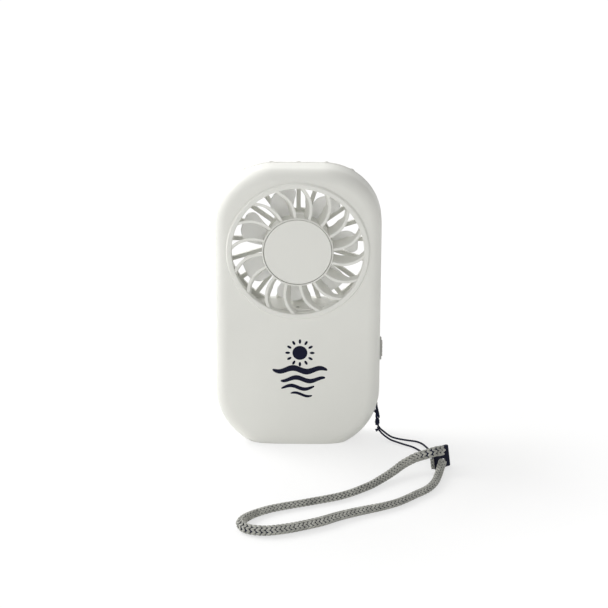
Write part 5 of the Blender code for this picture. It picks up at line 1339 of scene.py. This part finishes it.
def make_screw(name, head_share):
    """A pan-head screw seen from behind, with a cross recess, in the place of its node."""
    low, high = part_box(name)
    x, _, z = centre_of(name)
    head_r = radius_of(name)
    head = (high.y - low.y) * head_share
    shank_r = head_r * SHANK_SHARE
    corners = (
        (0.0, high.y), (head_r, high.y, head_r * HEAD_ROUND_SHARE), (head_r, high.y - head),
        (shank_r, high.y - head), (shank_r, low.y), (0.0, low.y),
    )
    screw = piece_from(f"cross_{name}", turned(corners, SMALL_STEPS, (x, 0.0, z)))
    arm, slim = head_r * RECESS_ARM_SHARE, head_r * RECESS_SLIM_SHARE
    y_from, y_to = high.y - head * RECESS_DEPTH_SHARE, high.y + OVERRUN
    recess = [
        block((x - wide, y_from, z - tall), (x + wide, y_to, z + tall))
        for wide, tall in ((arm, slim), (slim, arm))
    ]
    carve(screw, "DIFFERENCE", *recess)
    complete(screw, "steel", "screw_steel", name)


def make_socket():
    """The charging socket: a rounded metal shell with its tongue, open to the left."""
    low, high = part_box("charging_socket")
    socket = piece_from("socket_shell", slot_along_x(SOCKET_WIDTH, SOCKET_THICK, low.x, high.x, SOCKET_Z))
    mouth_x, floor_x = low.x - OVERRUN, high.x - OVERRUN
    inside = slot_along_x(SOCKET_WIDTH, SOCKET_THICK, mouth_x, floor_x, SOCKET_Z, -SOCKET_SHELL)
    carve(socket, "DIFFERENCE", inside)
    half = SOCKET_WIDTH / 2 - SOCKET_THICK / 2
    tip_x, root_x = high.x - SOCKET_TONGUE_LENGTH, high.x - EMBED
    tongue = port_block(
        tip_x, root_x, SOCKET_TONGUE, SOCKET_Z - half, SOCKET_Z + half, SOCKET_TONGUE / 5
    )
    carve(socket, "UNION", tongue)
    complete(socket, "steel", "switch_metal", "charging_socket")


def make_bar_and_pipe():
    low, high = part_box("lanyard_bar")
    bar = rod(BAR_R, low.y, high.y, BAR_X, BAR_Z, end_round=BAR_END_ROUND)
    bar = piece_from("steel_lanyard_bar", bar)
    complete(bar, "steel", "screw_steel", "lanyard_bar")
    low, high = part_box("charge_light_pipe")
    pipe = rod(LIGHT_R, low.x, high.x, 0.0, 0.0, end_round=BAR_END_ROUND)
    pipe = moved(rotated(pipe, -math.pi / 2, "Z"), (0.0, SIDE_PORT_Y, LIGHT_Z))
    pipe = piece_from("domed_light_pipe", pipe)
    complete(pipe, "clear", "light_clear", "charge_light_pipe")


# Print

def ink_from(data):
    """Give flat ink shapes their thickness, on the front face."""
    return moved(thicken(data, (0.0, INK_PROUD + INK_SUNK, 0.0)), (PRINT_X, FRONT_Y - INK_PROUD, PRINT_Z))


def make_print():
    """A plain sun over four breeze bands, in navy ink."""
    data = bmesh.new()
    upright = Matrix.Rotation(math.pi / 2, 4, "X")
    centre = Matrix.Translation((0.0, 0.0, SUN_Z))
    bmesh.ops.create_circle(data, cap_ends=True, segments=64, radius=SUN_R, matrix=centre @ upright)
    for index in range(SUN_RAYS):
        turn = Matrix.Rotation(math.tau * index / SUN_RAYS, 4, "Y")
        ray = Matrix.Translation((0.0, 0.0, SUN_R + SUN_GAP + RAY_LENGTH / 2))
        shape = Matrix.Diagonal((RAY_WIDTH, 1.0, RAY_LENGTH, 1.0))
        bmesh.ops.create_circle(
            data, cap_ends=True, segments=20, radius=0.5, matrix=centre @ turn @ ray @ shape @ upright
        )
    for height, long, thick, aside in BANDS:
        grid = bmesh.ops.create_grid(data, x_segments=72, y_segments=1, size=0.5, matrix=upright)
        for vert in grid["verts"]:
            along = vert.co.x
            slim = math.sqrt(max(1 - (2 * along) ** 2, 0.0)) ** BAND_TIP_POWER
            wave = math.sin(math.tau * BAND_WAVES * (along * long / PRINT_WIDTH + 0.25))
            vert.co.x = aside + along * long
            vert.co.z = height + wave * BAND_RISE + vert.co.z * thick * slim
            vert.co.y = 0.0
    bmesh.ops.remove_doubles(data, verts=data.verts, dist=TINY)
    ink = piece_from("front_print", faces_out(ink_from(data)))
    complete(ink, "ink", "case_shell", soften=False)
    ink.data.set_sharp_from_angle(angle=SHARP_ANGLE)


# Pieces that stay as they are packed

def finish_kept_nodes():
    for look, names in KEPT.items():
        for name in names:
            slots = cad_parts[name].data.materials
            slots.clear()
            slots.append(LOOKS[look])


# Stage

def seen_directly(tree):
    """1 for what the camera, a mirror or glass sees, and 0 for what only lights the object."""
    path = tree.nodes.new("ShaderNodeLightPath")
    seen = path.outputs["Is Camera Ray"]
    for ray in ("Is Glossy Ray", "Is Transmission Ray"):
        either = node(tree, "ShaderNodeMath", operation="MAXIMUM")
        tree.links.new(seen, either.inputs[0])
        tree.links.new(path.outputs[ray], either.inputs[1])
        seen = either.outputs["Value"]
    return seen


def mix_out(tree, share, first, second, output):
    """Send two shaders out, mixed by a share of the second."""
    mix = tree.nodes.new("ShaderNodeMixShader")
    tree.links.new(share, mix.inputs["Fac"])
    wire(tree, (*first, mix, 1), (*second, mix, 2), (mix, "Shader", tree.nodes[output], "Surface"))


def make_floor():
    data = bmesh.new()
    bmesh.ops.create_grid(data, x_segments=1, y_segments=1, size=FLOOR_SIZE / 2)
    floor = piece_from("floor", moved(data, (0.0, 0.0, -FLOOR_DROP)))
    paper = bpy.data.materials.new("floor_paper")
    paper.use_nodes = True
    tree = paper.node_tree
    shader = tree.nodes["Principled BSDF"]
    shader.inputs["Base Color"].default_value = colour(250, 250, 249)
    shader.inputs["Roughness"].default_value = 0.9
    shader.inputs["Specular IOR Level"].default_value = 0.1
    glow = node(tree, "ShaderNodeEmission", Strength=FLOOR_SEEN_STRENGTH)
    place = node(tree, "ShaderNodeTexCoord")
    reach = node(tree, "ShaderNodeVectorMath", operation="LENGTH")
    white = node(tree, "ShaderNodeMapRange", To_Min=FLOOR_SEEN_SHARE, To_Max=1.0)
    white.inputs["From Min"].default_value = FLOOR_SHADOW_R
    white.inputs["From Max"].default_value = FLOOR_WHITE_R
    share = node(tree, "ShaderNodeMath", operation="MULTIPLY")
    tree.links.new(seen_directly(tree), share.inputs[0])
    wire(tree, (place, "Object", reach, 0), (reach, "Value", white, "Value"), (white, "Result", share, 1))
    mix_out(tree, share.outputs["Value"], (shader, "BSDF"), (glow, "Emission"), "Material Output")
    floor.data.materials.append(paper)


def make_backdrop():
    world = bpy.data.worlds.new("soft_studio")
    bpy.context.scene.world = world
    world.use_nodes = True
    tree = world.node_tree
    sky = tree.nodes["Background"]
    sky.inputs["Color"].default_value = (1.0, 1.0, 1.0, 1.0)
    sky.inputs["Strength"].default_value = WORLD_STRENGTH
    backdrop = node(tree, "ShaderNodeBackground", Strength=1.0)
    mix_out(tree, seen_directly(tree), (sky, "Background"), (backdrop, "Background"), "World Output")


def make_lamps():
    for name, (azimuth, elevation, distance, size, power) in LAMPS.items():
        data = bpy.data.lights.new(name, "AREA")
        data.shape = "DISK"
        data.size = size
        data.energy = power
        angles = (math.radians(azimuth), math.radians(elevation))
        aimed(name, data, (0.0, 0.0, TOP_Z / 2), *angles, distance)


make_camera()
LOOKS = make_materials()
make_strap()
make_threads()
make_front_shell()
make_rear_shell()
make_grille()
make_hub_cap()
make_wheel()
make_knob()
for screw_name in CASE_SCREWS:
    make_screw(screw_name, CASE_HEAD_SHARE)
for screw_name in MOTOR_SCREWS:
    make_screw(screw_name, MOTOR_HEAD_SHARE)
make_socket()
make_bar_and_pipe()
make_print()
finish_kept_nodes()
make_floor()
make_backdrop()
make_lamps()
bpy.context.scene.view_settings.view_transform = "Standard"
